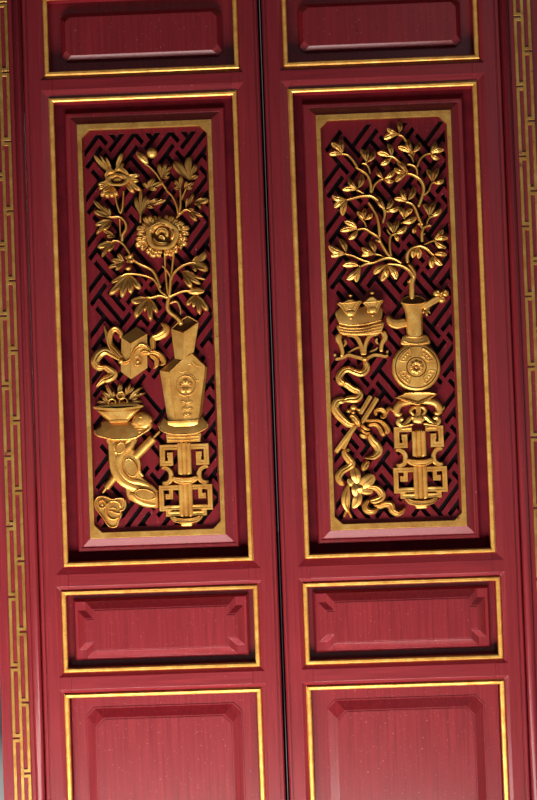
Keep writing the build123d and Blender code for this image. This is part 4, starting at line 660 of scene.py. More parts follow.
def carve_bonsai():
    """Bonsai in a bowl and a fruit on a lobed table, carried by a root, with a scroll behind."""
    relief = Relief()
    # Root
    body = [(-105, 279), (-100, 258), (-98, 240), (-98, 222), (-94, 200), (-84, 180), (-70, 168), (-66, 150),
            (-60, 141), (-44, 132), (-28, 124), (-10, 122), (2, 122), (4, 140), (2, 158), (-4, 170),
            (-18, 181), (-34, 198), (-34, 222), (-44, 242), (-46, 256), (-42, 279)]
    slab(relief, body, [(0, 6), (1.5, 10), (3.0, 11.5)], smooth=3.0)
    bars(relief, [
        ([(-99, 277), (-95, 250), (-93, 225), (-89, 205), (-77, 185), (-58, 172), (-36, 164), (-12, 160)],
         (10, 18, 20, 19, 17, 9), (12, 15, 17, 17, 15, 12)),
        ([(-46, 277), (-54, 262), (-70, 248), (-80, 226), (-76, 202), (-58, 184), (-36, 179), (-16, 170),
          (2, 155)], (12, 17, 18, 16, 13, 9), (13, 17, 17, 16, 14, 11)),
        ([(-64, 151), (-52, 151), (-40, 140), (-22, 131), (1, 127)], (13, 17, 14, 9), (11, 16, 15, 12)),
        ([(-94, 242), (-82, 250), (-70, 262), (-60, 271), (-46, 274)], (8, 10, 8), (13, 15.5, 12)),
        ([(-86, 246), (-88, 262), (-76, 272)], (7, 9, 6), (12, 14.5, 12)),
        ([(-58, 258), (-46, 244), (-38, 224), (-37, 204), (-28, 190)], (8, 12, 10, 6), (11, 14.5, 13, 10)),
        ([(-70, 176), (-50, 160), (-30, 150), (-4, 146)], (8, 12, 8), (11, 14, 11))
    ], fluted(2, 0.12, 0.12), side=0.45, sections=14)
    for u, v, a, b, turn in ((-54, 212, 12, 20, 0.35), (-75, 256, 9, 12, -0.5), (-24, 152, 22, 11, -0.25)):
        ring = hoop(relief, u, v, a, b, 5.5, 18.0, 14, turn, side=0.55)
        # Sunk floor of each ring, browned with painted shade.
        relief.sheet([[(p[0] + (u - p[0]) * share, p[1] + (v - p[1]) * share, height, shade) for p in ring]
                      for share, height, shade in ((0.10, 17.0, 0.3), (0.35, 14.8, 0.45), (0.7, 13.6, 0.3),
                                                   (0.98, 13.2, 0.2))],
                     closed=True, caps=True)
    # Table, bowl, fruit
    table = [(-133, 296), (-127, 284), (-108, 278), (-90, 274), (-66, 273), (-44, 275), (-26, 284),
             (-8, 296), (-4, 308), (-20, 316), (-46, 309), (-52, 315), (-90, 313), (-104, 318),
             (-116, 316), (-118, 306)]
    slab(relief, table, [(0, 9), (1.3, 12), (3.0, 12.5)], smooth=3.0, tilt=0.24, shade=0.5)
    sweep(relief, tapered([(-132, 298), (-126, 287), (-108, 280), (-90, 276), (-66, 275), (-44, 277),
                           (-27, 286), (-10, 297), (-6, 308)], (3.5, 5.5, 5.5, 3.5),
                          (15, 18, 18, 14)), side=0.6)
    bowl_side = [(-126, 342), (-112, 326), (-100, 317), (-96, 312), (-58, 312), (-54, 317), (-44, 326),
                 (-28, 342)]
    slab(relief, bowl_side, [(0, 9), (1.5, 13), (5, 16.5), (8, 17.5)])
    slab(relief, [(-98, 319), (-97, 313), (-58, 313), (-56, 319)], [(0, 17), (1.5, 18.6)])
    rim = [(-126, 343), (-76, 337), (-28, 343), (-26, 350), (-76, 346), (-128, 350)]
    slab(relief, rim, [(0, 14), (1.2, 18), (2.4, 18)], smooth=3.0)
    dome(relief, -76, 350, 46, 8, 14.0, low=8.0)
    melon = [(-50, 309), (-46, 322), (-36, 333), (-22, 335), (-8, 328), (-2, 315), (-10, 300), (-22, 294),
             (-36, 296)]
    slab(relief, melon, [(0, 8), (2, 13), (4.5, 16), (8, 17.8)], smooth=3.0)
    for points in ([(-50, 309), (-34, 309), (-16, 311), (-3, 314)], [(-44, 302), (-30, 302), (-14, 304)],
                   [(-38, 297), (-28, 297), (-18, 299)]):
        sweep(relief, tapered(points, (4, 5, 3), (16, 19, 15)), side=0.7)
    dome(relief, -28, 323, 4, 3, 19.5, low=17.0)
    dome(relief, -32, 290, 5, 4, 16.0, low=8.0)
    # Leaves over the bowl
    for foot, fingers in (
            ((-92, 352), [(-126, 360), (-118, 350), (-114, 372), (-106, 350)]),
            ((-88, 362), [(-102, 398), (-88, 384), (-112, 382)]),
            ((-74, 364), [(-72, 400), (-84, 376), (-62, 378)]),
            ((-60, 372), [(-50, 398), (-58, 392), (-42, 390)]),
            ((-56, 362), [(-22, 388), (-17, 376), (-32, 380), (-34, 366)]),
            ((-56, 354), [(-24, 356), (-34, 350)])):
        leaf_fan(relief, foot, fingers, 10.0, 0.10)
    for u, v, r, width in ((-71, 372, 8, 5), (-91, 357, 8, 5), (-66, 358, 9, 4)):
        hoop(relief, u, v, r, r, width, 14, 10, side=0.4)
    # Scroll
    bars(relief, [
        ([(-46, 234), (-2, 277)], (20, 20), (17, 17)), ([(-4, 275), (12, 291)], (7, 6), (12, 9)),
        ([(-86, 200), (-112, 168)], (15, 16), (12, 12)), ([(-108, 173), (-121, 157)], (7, 6), (9, 7))
    ], blunt=0.3, sections=14)
    return relief


def carve_ruyi():
    """Cloud-shaped sceptre head with an eye and a curled tongue."""
    relief = Relief()
    head = [(-137, 130), (-137, 143), (-128, 152), (-112, 151), (-98, 145), (-84, 147), (-72, 145),
            (-67, 134), (-71, 122), (-79, 118), (-78, 108), (-84, 98), (-88, 85), (-98, 81),
            (-109, 86), (-117, 100), (-130, 118)]
    slab(relief, head, [(0, 6), (1.5, 9), (3.0, 9.5)], smooth=2.5, shade=0.35)
    edge = spline([(u * 0.955 - 4.7, v * 0.955 + 5.4, 0) for u, v in head], 2.5, closed=True)[0][:-1]
    sweep(relief, [(u, v, 4.5, 13.5) for u, v, _ in edge], closed=True, side=0.5)
    hoop(relief, -120, 134, 8.5, 8.5, 4.2, 14.5, 11, side=0.5)
    dome(relief, -120, 133, 4, 4, 12.0, low=8.0)
    bars(relief, [
        ([(-106, 138), (-112, 128), (-112, 112), (-104, 102), (-94, 100), (-84, 104)], (6, 8, 7, 4),
         (14, 15, 14, 12)),
        ([(-104, 138), (-92, 140), (-82, 134), (-80, 124)], (6, 8, 6), (14, 15.5, 13)),
        ([(-108, 120), (-98, 117), (-88, 113), (-80, 112)], (4, 7, 5), (11, 14, 12)),
        ([(-106, 124), (-96, 125), (-86, 121)], (3, 5, 3), (10, 13, 10))
    ], side=0.5)
    return relief


# Right leaf's carvings

branch_stems = [
    ([(48, 558), (49, 580), (50, 600), (55, 616), (50, 630), (42, 640)], (13, 13, 12, 9), (12, 13, 12, 11)),
    ([(56, 606), (46, 624), (28, 636), (8, 640), (-4, 640)], (12, 9, 6, 4), (14, 13, 11, 9)),
    ([(40, 598), (50, 608), (56, 616)], (5, 7, 5), (10, 12, 10)),
    ([(30, 640), (16, 650), (0, 655), (-16, 652), (-32, 646), (-50, 643), (-62, 638)], (8, 7, 5),
     (11, 11, 9)),
    ([(-40, 646), (-58, 652), (-76, 661), (-95, 667)], (6, 5, 4), (10, 10, 9)),
    ([(-6, 655), (-18, 661), (-30, 664)], (4, 4), (8, 8)),
    ([(6, 652), (-4, 668), (-14, 686), (-20, 700), (-34, 711), (-50, 721), (-66, 720)], (8, 7, 6, 5),
     (11, 12, 11, 9)),
    ([(-12, 686), (-20, 692), (-28, 696)], (6, 6, 4), (10, 12, 8)),
    ([(-46, 722), (-49, 734), (-56, 743), (-62, 748)], (5, 4, 3), (9, 8)),
    ([(-18, 700), (-18, 725), (-22, 748), (-30, 764), (-40, 780)], (8, 7, 6, 5), (11, 11, 9)),
    ([(-10, 732), (-4, 752), (-8, 768), (-20, 784), (-34, 793), (-56, 793), (-76, 789), (-88, 786)],
     (6, 7, 8, 6, 5), (9, 11, 12, 11)),
    ([(-2, 756), (12, 760), (24, 760)], (5, 5, 4), (9, 10)),
    ([(6, 656), (4, 680), (6, 700), (12, 706), (26, 708)], (7, 6, 5, 4), (10, 10, 9)),
    ([(8, 705), (2, 712), (-1, 720)], (4, 3), (10, 8)),
    ([(-46, 797), (-56, 803), (-66, 808)], (5, 4), (9, 9)),
    ([(-33, 798), (-33, 822), (-40, 840), (-52, 850), (-66, 859)], (7, 7, 6, 4), (11, 12, 10)),
    ([(-60, 856), (-70, 874), (-82, 886), (-96, 889)], (6, 5, 4), (10, 10, 9)),
    ([(-33, 842), (-36, 856), (-42, 864), (-52, 866)], (5, 5, 4), (9, 10)),
    ([(-32, 800), (-24, 818), (-12, 828), (-4, 829)], (6, 5, 4), (9, 10)),
    ([(42, 640), (42, 660), (50, 672), (68, 678), (84, 672), (96, 660), (102, 656)], (9, 8, 7, 5),
     (10, 11, 12, 10)),
    ([(78, 680), (92, 686), (104, 690)], (5, 4), (9, 10)),
    ([(76, 686), (76, 706), (80, 718), (88, 722), (98, 722)], (7, 8, 7, 4), (10, 12, 10)),
    ([(76, 702), (84, 706)], (5, 4), (9, 10)),
    ([(78, 716), (72, 726), (66, 726)], (6, 4), (10, 10)),
    ([(78, 722), (70, 742), (64, 760), (56, 772), (42, 777)], (7, 7, 6, 5), (10, 12, 10)),
    ([(70, 764), (78, 784), (84, 806), (78, 824), (62, 836), (48, 840)], (7, 8, 8, 5), (9, 11, 12, 10)),
    ([(82, 790), (94, 800), (102, 816), (112, 818)], (6, 4), (9, 9)),
    ([(86, 722), (92, 738), (104, 744), (112, 745)], (5, 4), (9, 9)),
    ([(70, 832), (70, 848), (62, 857), (48, 860)], (6, 6, 4), (10, 11)),
    ([(50, 840), (46, 850), (30, 868), (18, 878), (0, 880)], (5, 6, 5), (9, 10)),
    ([(70, 852), (78, 870), (90, 880), (102, 882)], (6, 5, 4), (10, 10)),
    ([(64, 862), (60, 876), (52, 884)], (4, 4, 3), (9, 9)),
    ([(62, 880), (60, 898), (54, 914)], (5, 5, 4), (8, 8)),
    ([(50, 910), (42, 922), (32, 926)], (5, 5, 4), (10, 10)),
    ([(62, 874), (68, 890)], (4, 3), (7, 7)),
]
branch_leaves = [
    ((-4, 640), [(-33, 619), (-18, 604), (-4, 612), (16, 606)]),
    ((-62, 639), [(-101, 641), (-94, 610), (-72, 603)]),
    ((-92, 667), [(-127, 662), (-131, 686), (-106, 701)]),
    ((-28, 664), [(-59, 661), (-58, 679), (-40, 692)]),
    ((-64, 720), [(-104, 718), (-87, 699), (-94, 738)]),
    ((-50, 740), [(-66, 758), (-47, 766), (-32, 754)]),
    ((-86, 787), [(-115, 770), (-119, 796), (-97, 752)]),
    ((-2, 759), [(28, 766), (-17, 792), (12, 786)]),
    ((38, 740), [(26, 766), (57, 760)]),
    ((30, 730), [(64, 742)]),
    ((14, 706), [(0, 734), (26, 736), (42, 722), (22, 690)]),
    ((-62, 808), [(-96, 809), (-81, 833), (-52, 842)]),
    ((-92, 888), [(-117, 914), (-92, 922), (-122, 888)]),
    ((-40, 866), [(-52, 898), (-36, 896), (-22, 892)]),
    ((-4, 829), [(18, 824), (-18, 852), (20, 848)]),
    ((98, 658), [(118, 634), (128, 655), (96, 628)]),
    ((64, 678), [(54, 652), (66, 650)]),
    ((100, 690), [(128, 672), (132, 692), (122, 712)]),
    ((46, 777), [(18, 785), (36, 806), (62, 810)]),
    ((64, 722), [(58, 706)]),
    ((48, 840), [(22, 822), (20, 852), (26, 868)]),
    ((104, 816), [(92, 848), (118, 848), (128, 822)]),
    ((94, 742), [(82, 772), (108, 774), (120, 758)]),
    ((16, 877), [(-16, 888), (-10, 862), (8, 908)]),
    ((100, 882), [(120, 870), (131, 888), (114, 908)]),
    ((60, 884), [(30, 899), (54, 916), (80, 908)]),
    ((34, 928), [(0, 918), (8, 941), (34, 956)]),
    ((46, 842), [(34, 862)]),
]


def carve_branch():
    """Branch of small pointed leaves, each with a sunk midrib."""
    relief = Relief()
    bars(relief, branch_stems, sections=8, side=0.25)
    for foot, tips in branch_leaves:
        for k, tip in enumerate(tips):
            reach = math.dist(foot, tip)
            start = (foot[0] + (tip[0] - foot[0]) * 0.12, foot[1] + (tip[1] - foot[1]) * 0.12)
            # Leaves that point up are browned with painted shade.
            upright = (tip[1] - foot[1]) / reach
            lift = 11.5 + 1.5 * ((k * 5 + len(tips)) % 3 - 1)
            blade(relief, start, tip, 6.5 + 0.20 * reach, (7.0, lift, lift - 3.0),
                  foot_power=0.85, tip_power=0.62, crown=3.6, groove=2.6, across=14,
                  bend=0.09 * reach * (1 if (k + int(foot[0])) % 2 else -1),
                  tilt=0.25 if upright > 0.75 else -0.08, shade=0.45 if upright > 0.75 else 0.0)
            sweep(relief, tapered([foot, start], (4, 4), (8, 8)), sections=6, spacing=3)
    dome(relief, -10, 972, 8, 4, 6.0, low=2.0, turn=-0.6)
    return relief


def carve_flask():
    """Round flask with a ringed face and plain cartouches, and a sceptre behind its neck."""
    relief = Relief()
    u0, v0, r0 = 51.5, 411.0, 54.0
    count = 56
    angle = np.linspace(0, 2 * math.pi, count, endpoint=False)
    rows = []
    # Rings of the face; those with shade 1 are grooves darkened with painted shade.
    for r, h, shade in (
            (0.94, 0.0, 0), (1.0, 6.0, 0), (0.99, 9.5, 0), (0.96, 12.5, 0), (0.92, 14.3, 0), (0.875, 14.8, 0),
            (0.865, 13.0, 1), (0.845, 13.0, 1), (0.83, 14.6, 0), (0.6, 15.6, 0), (0.42, 16.0, 0),
            (0.40, 14.6, 1), (0.385, 14.6, 1), (0.37, 16.2, 0), (0.2, 16.6, 0), (0.02, 16.8, 0)):
        rows.append(np.stack([u0 + r0 * r * np.cos(angle), v0 + r0 * r * np.sin(angle), np.full(count, h),
                              np.full(count, shade)], axis=1))
    relief.sheet(rows, closed=True, caps=True)
    for u, v in ((19, 446), (84, 446), (17, 382), (86, 382)):
        turn = math.atan2(v - v0, u - u0)
        arc = [(41, a) for a in (-0.42, -0.2, 0, 0.2, 0.42)] + [(27, a) for a in (0.34, 0, -0.34)]
        sweep(relief, [(u0 + r * math.cos(turn + a), v0 + r * math.sin(turn + a), 2.6, 17.4) for r, a in arc],
              closed=True, spacing=1.4, sections=6, side=0.85)
        for a in (-0.2, 0.0, 0.2):
            dome(relief, u0 + 34 * math.cos(turn + a), v0 + 34 * math.sin(turn + a), 2.4, 2.4, 17.2,
                 low=15.4, count=14, rings=4)
    # Plain rosette in the middle
    for k in range(8):
        turn = k * math.pi / 4
        blade(relief, (u0 + 3 * math.cos(turn), v0 + 3 * math.sin(turn)),
              (u0 + 17 * math.cos(turn), v0 + 17 * math.sin(turn)), 9, (16.4, 17.9, 16.4), crown=1.2,
              groove=0.8, samples=8, across=8)
    dome(relief, u0, v0, 4, 4, 19.0, low=16.4, count=20)
    # Neck, mouth and collar
    neck = [(33, 476), (33, 500), (33, 526), (30, 540), (25, 553), (77, 553), (72, 540), (70, 526),
            (70, 500), (70, 476)]
    rows = []
    t = np.linspace(-1, 1, 15)
    for (left, v), (right, _) in zip(neck[:5], neck[:4:-1]):
        half, middle = (right - left) / 2, (right + left) / 2
        sag = -4 * (1 - t ** 2) * (v > 530) + 4 * t ** 2 * (v < 480)
        rows.append(np.stack([middle + half * t, v + sag, 3 + 14.5 * np.sqrt(1 - 0.98 * t ** 2)], axis=1))
    relief.sheet(rows)
    rim = spline([(25, 554, 0), (38, 550, 0), (52, 549, 0), (66, 550, 0), (77, 554, 0), (72, 563, 0),
                  (60, 568, 0), (52, 569, 0), (42, 568, 0), (30, 563, 0)], 3.0, closed=True)[0][:-1]
    lip = 10 - 8 * (rim[:, 1] - 558) / 10
    ring = [(u, v, 4.0, max(h, 3.0) + 1.5) for (u, v, _), h in zip(rim, lip)]
    sweep(relief, ring, closed=True, side=0.3)
    # Floor of the mouth, darkened with painted shade.
    mouth = [(u + (51 - u) * 0.08, v + (559 - v) * 0.15, 2.0, 1.0) for u, v, _ in rim]
    relief.add(mouth, [list(range(len(mouth)))])
    sweep(relief, tapered([(34, 480), (40, 477), (52, 475.5), (64, 477), (69, 480)], (5, 6, 5),
                          (14, 18.5, 14)), side=0.5)
    collar = [(20, 462), (22, 474), (30, 482), (73, 482), (82, 474), (84, 462), (68, 458), (52, 457),
              (36, 458)]
    slab(relief, collar, [(0, 9), (1.5, 13), (3.0, 14)], smooth=3.0, shade=0.4)
    for points, w, h in (([(25, 469), (36, 464), (52, 461), (68, 463), (80, 468)], 4.5, 17.0),
                         ([(30, 478), (52, 474), (74, 478)], 3.0, 16.0)):
        sweep(relief, tapered(points, (w, w), (h - 1, h, h - 1)), side=0.6)
    # Sceptre, its cloud head and tassel
    sweep(relief, tapered([(38, 512), (24, 509), (10, 508), (0, 513), (-5, 522), (-2, 528)],
                          (18, 22, 22, 13, 5), (10, 12, 12, 8)),
          fluted(2, 0.15), side=0.4, sections=14)
    sweep(relief, tapered([(70, 541), (84, 549), (100, 558), (110, 562)], (15, 16, 14), (12, 13, 13)),
          fluted(1, 0.15), side=0.35, blunt=0.4)
    for u, v, r in ((104, 572, 9), (121, 572, 9), (114, 559, 9), (112, 568, 6)):
        dome(relief, u, v, r, r, 13.5, low=5.0)
        hoop(relief, u, v, 3.6, 3.6, 1.8, 14.6, 8, spacing=1.2, side=0.85)
    leaf_fan(relief, (76, 544), [(72, 528), (80, 522), (88, 528), (86, 536)], 9.0, 0.0)
    return relief


def carve_flask_stand():
    """Stand of the moon flask: lozenge seat, small cabriole table, cloud scrolls and key-fret columns."""
    relief = Relief()
    key_stand(relief, 51.5, 21, 274)
    seat = [(2, 345), (27, 336), (52, 328), (74, 337), (97, 350), (80, 356), (52, 357), (26, 357)]
    slab(relief, seat, [(0, 10), (1.2, 14.5), (3, 16), (5, 15), (8, 12)])
    sweep(relief, tapered([(14, 341), (30, 335), (52, 329), (76, 339), (92, 349)], (3, 3.5, 3),
                          (15, 17.5, 14)), side=0.7)
    scrolls = (
        ([(4, 334), (24, 334), (40, 330), (47, 318), (44, 309), (34, 309)], (10, 17, 17, 10),
         (12, 13, 13, 12), half_round, 0.4),
        ([(47, 312), (56, 318), (58, 324)], (7, 6, 4), (11, 9), half_round, 0.4),
        ([(0, 322), (10, 322), (16, 315), (10, 306), (4, 302)], (8, 9, 7), (12, 13, 11), half_round, 0.4),
        ([(2, 300), (16, 300), (26, 290), (36, 284), (44, 290), (40, 298), (31, 296)], (9, 11, 12, 9),
         (14, 14, 13), fluted(2, 0.16), 0.4),
        ([(14, 310), (17, 318)], (7, 6), (13, 13), half_round, 0.4),
        ([(10, 286), (22, 284), (34, 282), (42, 282)], (6, 7, 5), (16, 16, 14), half_round, 0.5),
    )
    for way in (-1, 1):
        for points, widths, heights, profile, side in scrolls:
            bars(relief, [(placed(points, 52, way), widths, heights)], profile, side=side)
        bars(relief, [(placed([(15, 276), (28, 276), (40, 275)], 52, way), (6, 5), (15, 14))], side=0.5,
             blunt=0.4)
    sweep(relief, tapered([(52, 330), (53, 312), (50, 300), (53, 286)], (14, 12, 13, 14),
                          (13, 15, 16, 15)), fluted(3, 0.2), side=0.5)
    dome(relief, 52, 296, 14, 10, 17.5, low=11.0, wave=0.08, waves=5)
    return relief


def carve_casket():
    """Twin lozenge lids with knobs on a moulded drum, over a stand with curved legs."""
    relief = Relief()
    drum = [(-121, 540), (-119, 524), (-112, 512), (-90, 507), (-66, 506), (-44, 508), (-24, 515),
            (-18, 530), (-19, 546), (-40, 556), (-66, 548), (-100, 552)]
    slab(relief, drum, [(0, 8), (1.6, 12), (3.2, 13)], smooth=3.0, tilt=0.12, shade=0.5)
    for v, dip, width, height in ((511, 6, 4.5, 17.0), (503, 6, 4.0, 16.5), (497, 6, 3.5, 16.0),
                                  (491, 5, 3.5, 15.5)):
        sweep(relief, tapered([(-116, v + dip * 0.5), (-92, v - dip * 0.4), (-66, v - dip * 0.5),
                               (-42, v + dip * 0.3), (-20, v + dip)],
                              (width, width), (height - 2, height, height - 2)), side=0.6)
    waist = [(-117, 512), (-114, 492), (-100, 486), (-66, 484), (-30, 486), (-20, 494), (-18, 514),
             (-66, 506)]
    slab(relief, waist, [(0, 8), (1.6, 11), (3.2, 12)], smooth=3.0, shade=0.3)
    for left, right, high, low, middle in ((-118, -61, 566, 530, -88), (-62, -14, 570, 535, -40)):
        lid = [(left, 557), (left + 10, 546), (middle - 12, 534), (middle, low), (middle + 10, 534),
               (right - 8, 550), (right, 561), (middle + 14, 561), (middle + 4, high), (middle - 6, high),
               (middle - 18, 560)]
        slab(relief, lid, [(0, 11), (1.4, 15), (3.0, 16.5)])
        for share, width, height in ((0.0, 3.6, 19.0), (0.45, 2.2, 18.4)):
            line = [(left + 2, 558), (left + 12, 547), (middle - 11, 536), (middle, low + 2),
                    (middle + 9, 536), (right - 9, 551), (right - 2, 560)]
            line = [(u + (middle - u) * share, v + (556 - v) * share) for u, v in line]
            sweep(relief, tapered(line, (width, width), (height - 1, height, height - 1)), side=0.8)
        sweep(relief, tapered([(left + 2, 558), (middle - 10, 557), (middle + 8, 558), (right - 2, 561)],
                              (3, 3.5, 3), (17, 19, 17)), side=0.8)
        dome(relief, middle, low + 5, 11, 8, 20.0, low=14.0)
        dome(relief, middle, low - 7, 4.5, 3.5, 17.5, low=9.0)
        dome(relief, middle + 1, high + 8, 5, 4.5, 15.0, low=6.0)
    bars(relief, [
        ([(-112, 492), (-117, 480), (-112, 466), (-109, 448), (-112, 438)], (12, 15, 11, 9, 8),
         (12, 13, 12, 11)),
        ([(-104, 478), (-101, 470), (-106, 462)], (6, 7, 4), (12, 12)),
        ([(-98, 488), (-82, 485), (-72, 474), (-66, 456), (-64, 440)], (8, 9, 11, 10), (11, 12, 13)),
        ([(-28, 488), (-44, 485), (-54, 474), (-60, 456), (-61, 440)], (8, 9, 11, 10), (11, 12, 13)),
        ([(-20, 494), (-14, 480), (-22, 464), (-24, 446)], (10, 13, 10, 9), (11, 12, 11)),
        ([(-30, 478), (-34, 472), (-30, 464)], (6, 6, 4), (11, 11)),
        ([(-98, 447), (-82, 456), (-70, 460)], (5, 5, 4), (6, 7)),
        ([(-50, 448), (-38, 452), (-30, 458)], (5, 5, 4), (6, 7)),
        ([(-126, 434), (-108, 438), (-96, 443), (-82, 439), (-66, 434), (-60, 430)], (7, 8, 8, 9),
         (10, 12, 12)),
        ([(-60, 430), (-52, 436), (-40, 441), (-26, 440), (-16, 437), (-8, 440)], (9, 8, 7, 6), (13, 12, 10)),
        ([(-9, 452), (-12, 442)], (6, 6), (8, 8)), ([(-128, 448), (-124, 440)], (6, 6), (7, 7))
    ], fluted(1, 0.10), side=0.4)
    dome(relief, -60, 433, 8, 6, 14.5, low=6.0)
    return relief


def carve_clappers():
    """Two clapper boards crossed by a knot, with long ribbons."""
    relief = Relief()
    bars(relief, [
        ([(-36, 347), (-68, 300), (-74, 296)], (11, 11), (14, 14)),
        ([(-50, 352), (-76, 312)], (10, 10), (12.5, 12.5)),
        ([(-86, 288), (-110, 258), (-133, 229)], (11, 12, 10), (13, 13, 9)),
        ([(-92, 282), (-116, 236)], (10, 9), (10, 9))
    ], fluted(2, 0.25), side=0.6, blunt=0.35)
    ribbons(relief, [
        ([(-62, 432), (-57, 418), (-60, 408), (-70, 402), (-84, 406), (-98, 412), (-110, 408), (-118, 397),
          (-116, 386), (-106, 377)], (9, 15, 15, 13, 14, 15, 14), (11, 12, 14.5, 12, 10, 12, 15)),
        ([(-112, 382), (-100, 376), (-90, 368), (-78, 362), (-75, 353), (-84, 346), (-98, 346), (-112, 344)],
         (13, 13, 14, 17, 12), (13, 10, 12, 15, 11)),
        ([(-104, 344), (-124, 342), (-131, 328), (-124, 314), (-112, 300), (-100, 290), (-84, 288)],
         (14, 17, 17, 15, 11), (10, 11, 13, 15, 12)),
        ([(-74, 300), (-56, 297), (-36, 296), (-24, 288), (-17, 276), (-22, 266)], (6, 7, 8, 12, 13),
         (11, 11, 12, 13, 15)),
        ([(-60, 286), (-44, 288), (-34, 280), (-28, 268), (-22, 262)], (7, 9, 9, 10), (9, 10, 11, 13)),
        ([(-40, 306), (-40, 318), (-30, 321), (-21, 314), (-24, 304), (-32, 307)], (6, 9, 11, 9, 6),
         (10, 13, 13, 12)),
        ([(-6, 326), (-16, 318), (-22, 304)], (6, 10, 8), (7, 8, 7)),
        ([(-58, 268), (-50, 252), (-40, 240), (-38, 228), (-48, 218), (-60, 216), (-70, 216)],
         (9, 16, 18, 15, 8, 4), (10, 12, 14, 15, 11)),
        ([(-58, 207), (-66, 202), (-72, 192), (-74, 186)], (7, 14, 13, 9), (10, 12, 14, 12)),
        ([(-112, 240), (-112, 226), (-104, 214), (-98, 204), (-106, 196), (-120, 188), (-128, 176),
          (-124, 164), (-116, 156)], (8, 15, 17, 14, 15, 14, 8), (8, 11, 14, 10, 11, 13, 12)),
        ([(-100, 236), (-110, 232), (-118, 222)], (8, 9, 6), (7, 8, 6)),
        ([(-78, 268), (-68, 262), (-60, 264)], (6, 9, 8), (8, 9, 8)),
        ([(-100, 306), (-92, 306), (-84, 296), (-78, 284)], (8, 16, 15, 9), (11, 13, 14, 12)),
        ([(-74, 290), (-66, 280), (-54, 276)], (8, 9, 6), (12, 11, 9)),
        ([(-76, 280), (-66, 270), (-54, 270)], (5, 6, 5), (10, 10, 9)),
    ])
    for u, v, r in ((-100, 320, 6), (-89, 327, 8), (-90, 316, 5), (-78, 322, 5)):
        dome(relief, u, v, r, r * 0.85, 12.5, low=4.0)
    return relief


def carve_blossom():
    """Flower at the panel's foot, tied with a ribbon."""
    relief = Relief()
    for foot, tip, width, heights in (
            ((-86, 158), (-94, 196), 22, (8, 13, 9)), ((-84, 150), (-50, 176), 27, (9, 14, 11)),
            ((-92, 152), (-108, 170), 14, (7, 10, 8)),
            ((-86, 160), (-80, 138), 16, (9, 14, 10)), ((-94, 162), (-92, 132), 16, (9, 14, 11)),
            ((-84, 144), (-54, 140), 15, (7, 10, 8))):
        blade(relief, foot, tip, width, heights, foot_power=0.5, tip_power=0.4, crown=3.0, groove=1.2,
              ribs=3, rib_depth=0.4)
    blade(relief, (-106, 158), (-110, 98), 19, (7, 12, 8), bend=-6, crown=3.5, groove=2.2)
    blade(relief, (-88, 148), (-100, 106), 20, (7, 12, 8), bend=6, crown=3.5, groove=1.5, ribs=2)
    ribbons(relief, [
        ([(-112, 124), (-110, 104), (-102, 84)], (5, 6, 4), (9, 12, 9)),
        ([(-112, 104), (-120, 86)], (6, 5), (8, 6)),
        ([(-78, 140), (-62, 150), (-46, 148), (-36, 138), (-36, 128), (-48, 122), (-62, 120)],
         (7, 12, 16, 16, 12), (9, 11, 14, 14, 10)),
        ([(-64, 124), (-72, 112), (-68, 100), (-56, 97), (-44, 101)], (8, 12, 14, 12, 6),
         (9, 11, 14, 14, 11)),
        ([(-54, 112), (-42, 107), (-28, 112), (-16, 110), (-12, 98), (-2, 91), (8, 94), (16, 103)],
         (6, 12, 15, 14, 12, 5), (8, 10, 13, 14, 11))
    ])
    return relief


# Putting a relief on its leaf

painted_shade_depth = 7.0


def new_object(name, data):
    made = bpy.data.objects.new(name, data)
    bpy.context.scene.collection.objects.link(made)
    return made


def hang(side, node, relief, sharp):
    """Relief in place of a CAD node on that leaf's fret board, riding with the leaf.

    Edges past the sharp angle, in degrees, stay crisp.
    """
    low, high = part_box(f"{side}_fret_board")
    centre = (low.x + high.x) / 2
    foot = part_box(f"{side}_heart_beads")[0].z
    points = np.array(relief.points)
    spots = np.column_stack([centre + points[:, 0] * MM, low.y - points[:, 2] * MM, foot + points[:, 1] * MM])
    mesh = bpy.data.meshes.new(f"{side}_{node}_carving")
    mesh.from_pydata(spots.tolist(), [], relief.faces)
    # The hollow attribute is painted shade: it darkens the gilding the nearer a point lies to the fret, and
    # wherever the relief's shade column says.
    hollow = mesh.attributes.new("hollow", "FLOAT", "POINT")
    painted_shade_near_fret = np.clip(1 - points[:, 2] / painted_shade_depth, 0, 1)
    hollow.data.foreach_set("value", np.maximum(painted_shade_near_fret, points[:, 3]).astype(np.float32))
    face_outwards(mesh)
    mesh.shade_smooth()
    mesh.set_sharp_from_angle(angle=math.radians(sharp))
    mesh.materials.append(carving_gilt)
    piece = new_object(mesh.name, mesh)
    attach(piece, f"{side}_leaf")
    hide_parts(f"{side}_{node}")


def face_outwards(mesh):
    """Turn all faces of a closed mesh outwards."""
    shell = bmesh.new()
    shell.from_mesh(mesh)
    bmesh.ops.recalc_face_normals(shell, faces=shell.faces)
    shell.to_mesh(mesh)
    shell.free()


def soften(piece, width):
    """Rounded arrises on a CAD node, whose own mesh stays as it is."""
    weld = piece.modifiers.new("weld", "WELD")
    weld.merge_threshold = 0.02 * MM
    bevel = piece.modifiers.new("bevel", "BEVEL")
    bevel.width = width * MM
    bevel.segments = 2
    bevel.limit_method = "ANGLE"
    bevel.angle_limit = math.radians(25)
    bevel.harden_normals = True


# Materials

lacquer_specular = 0.16
gilt_metal = 0.62


def material(name):
    """New material, with its node tree and its shader."""
    made = bpy.data.materials.new(name)
    made.use_nodes = True
    return made, made.node_tree, made.node_tree.nodes["Principled BSDF"]


def add(tree, kind, links=(), **values):
    """Node with its values set by input name, and links as (input, output socket)."""
    made = tree.nodes.new(kind)
    for name, value in values.items():
        if hasattr(made, name):
            setattr(made, name, value)
        else:
            made.inputs[name.replace("_", " ")].default_value = value
    for name, socket in links:
        tree.links.new(socket, made.inputs[name])
    return made


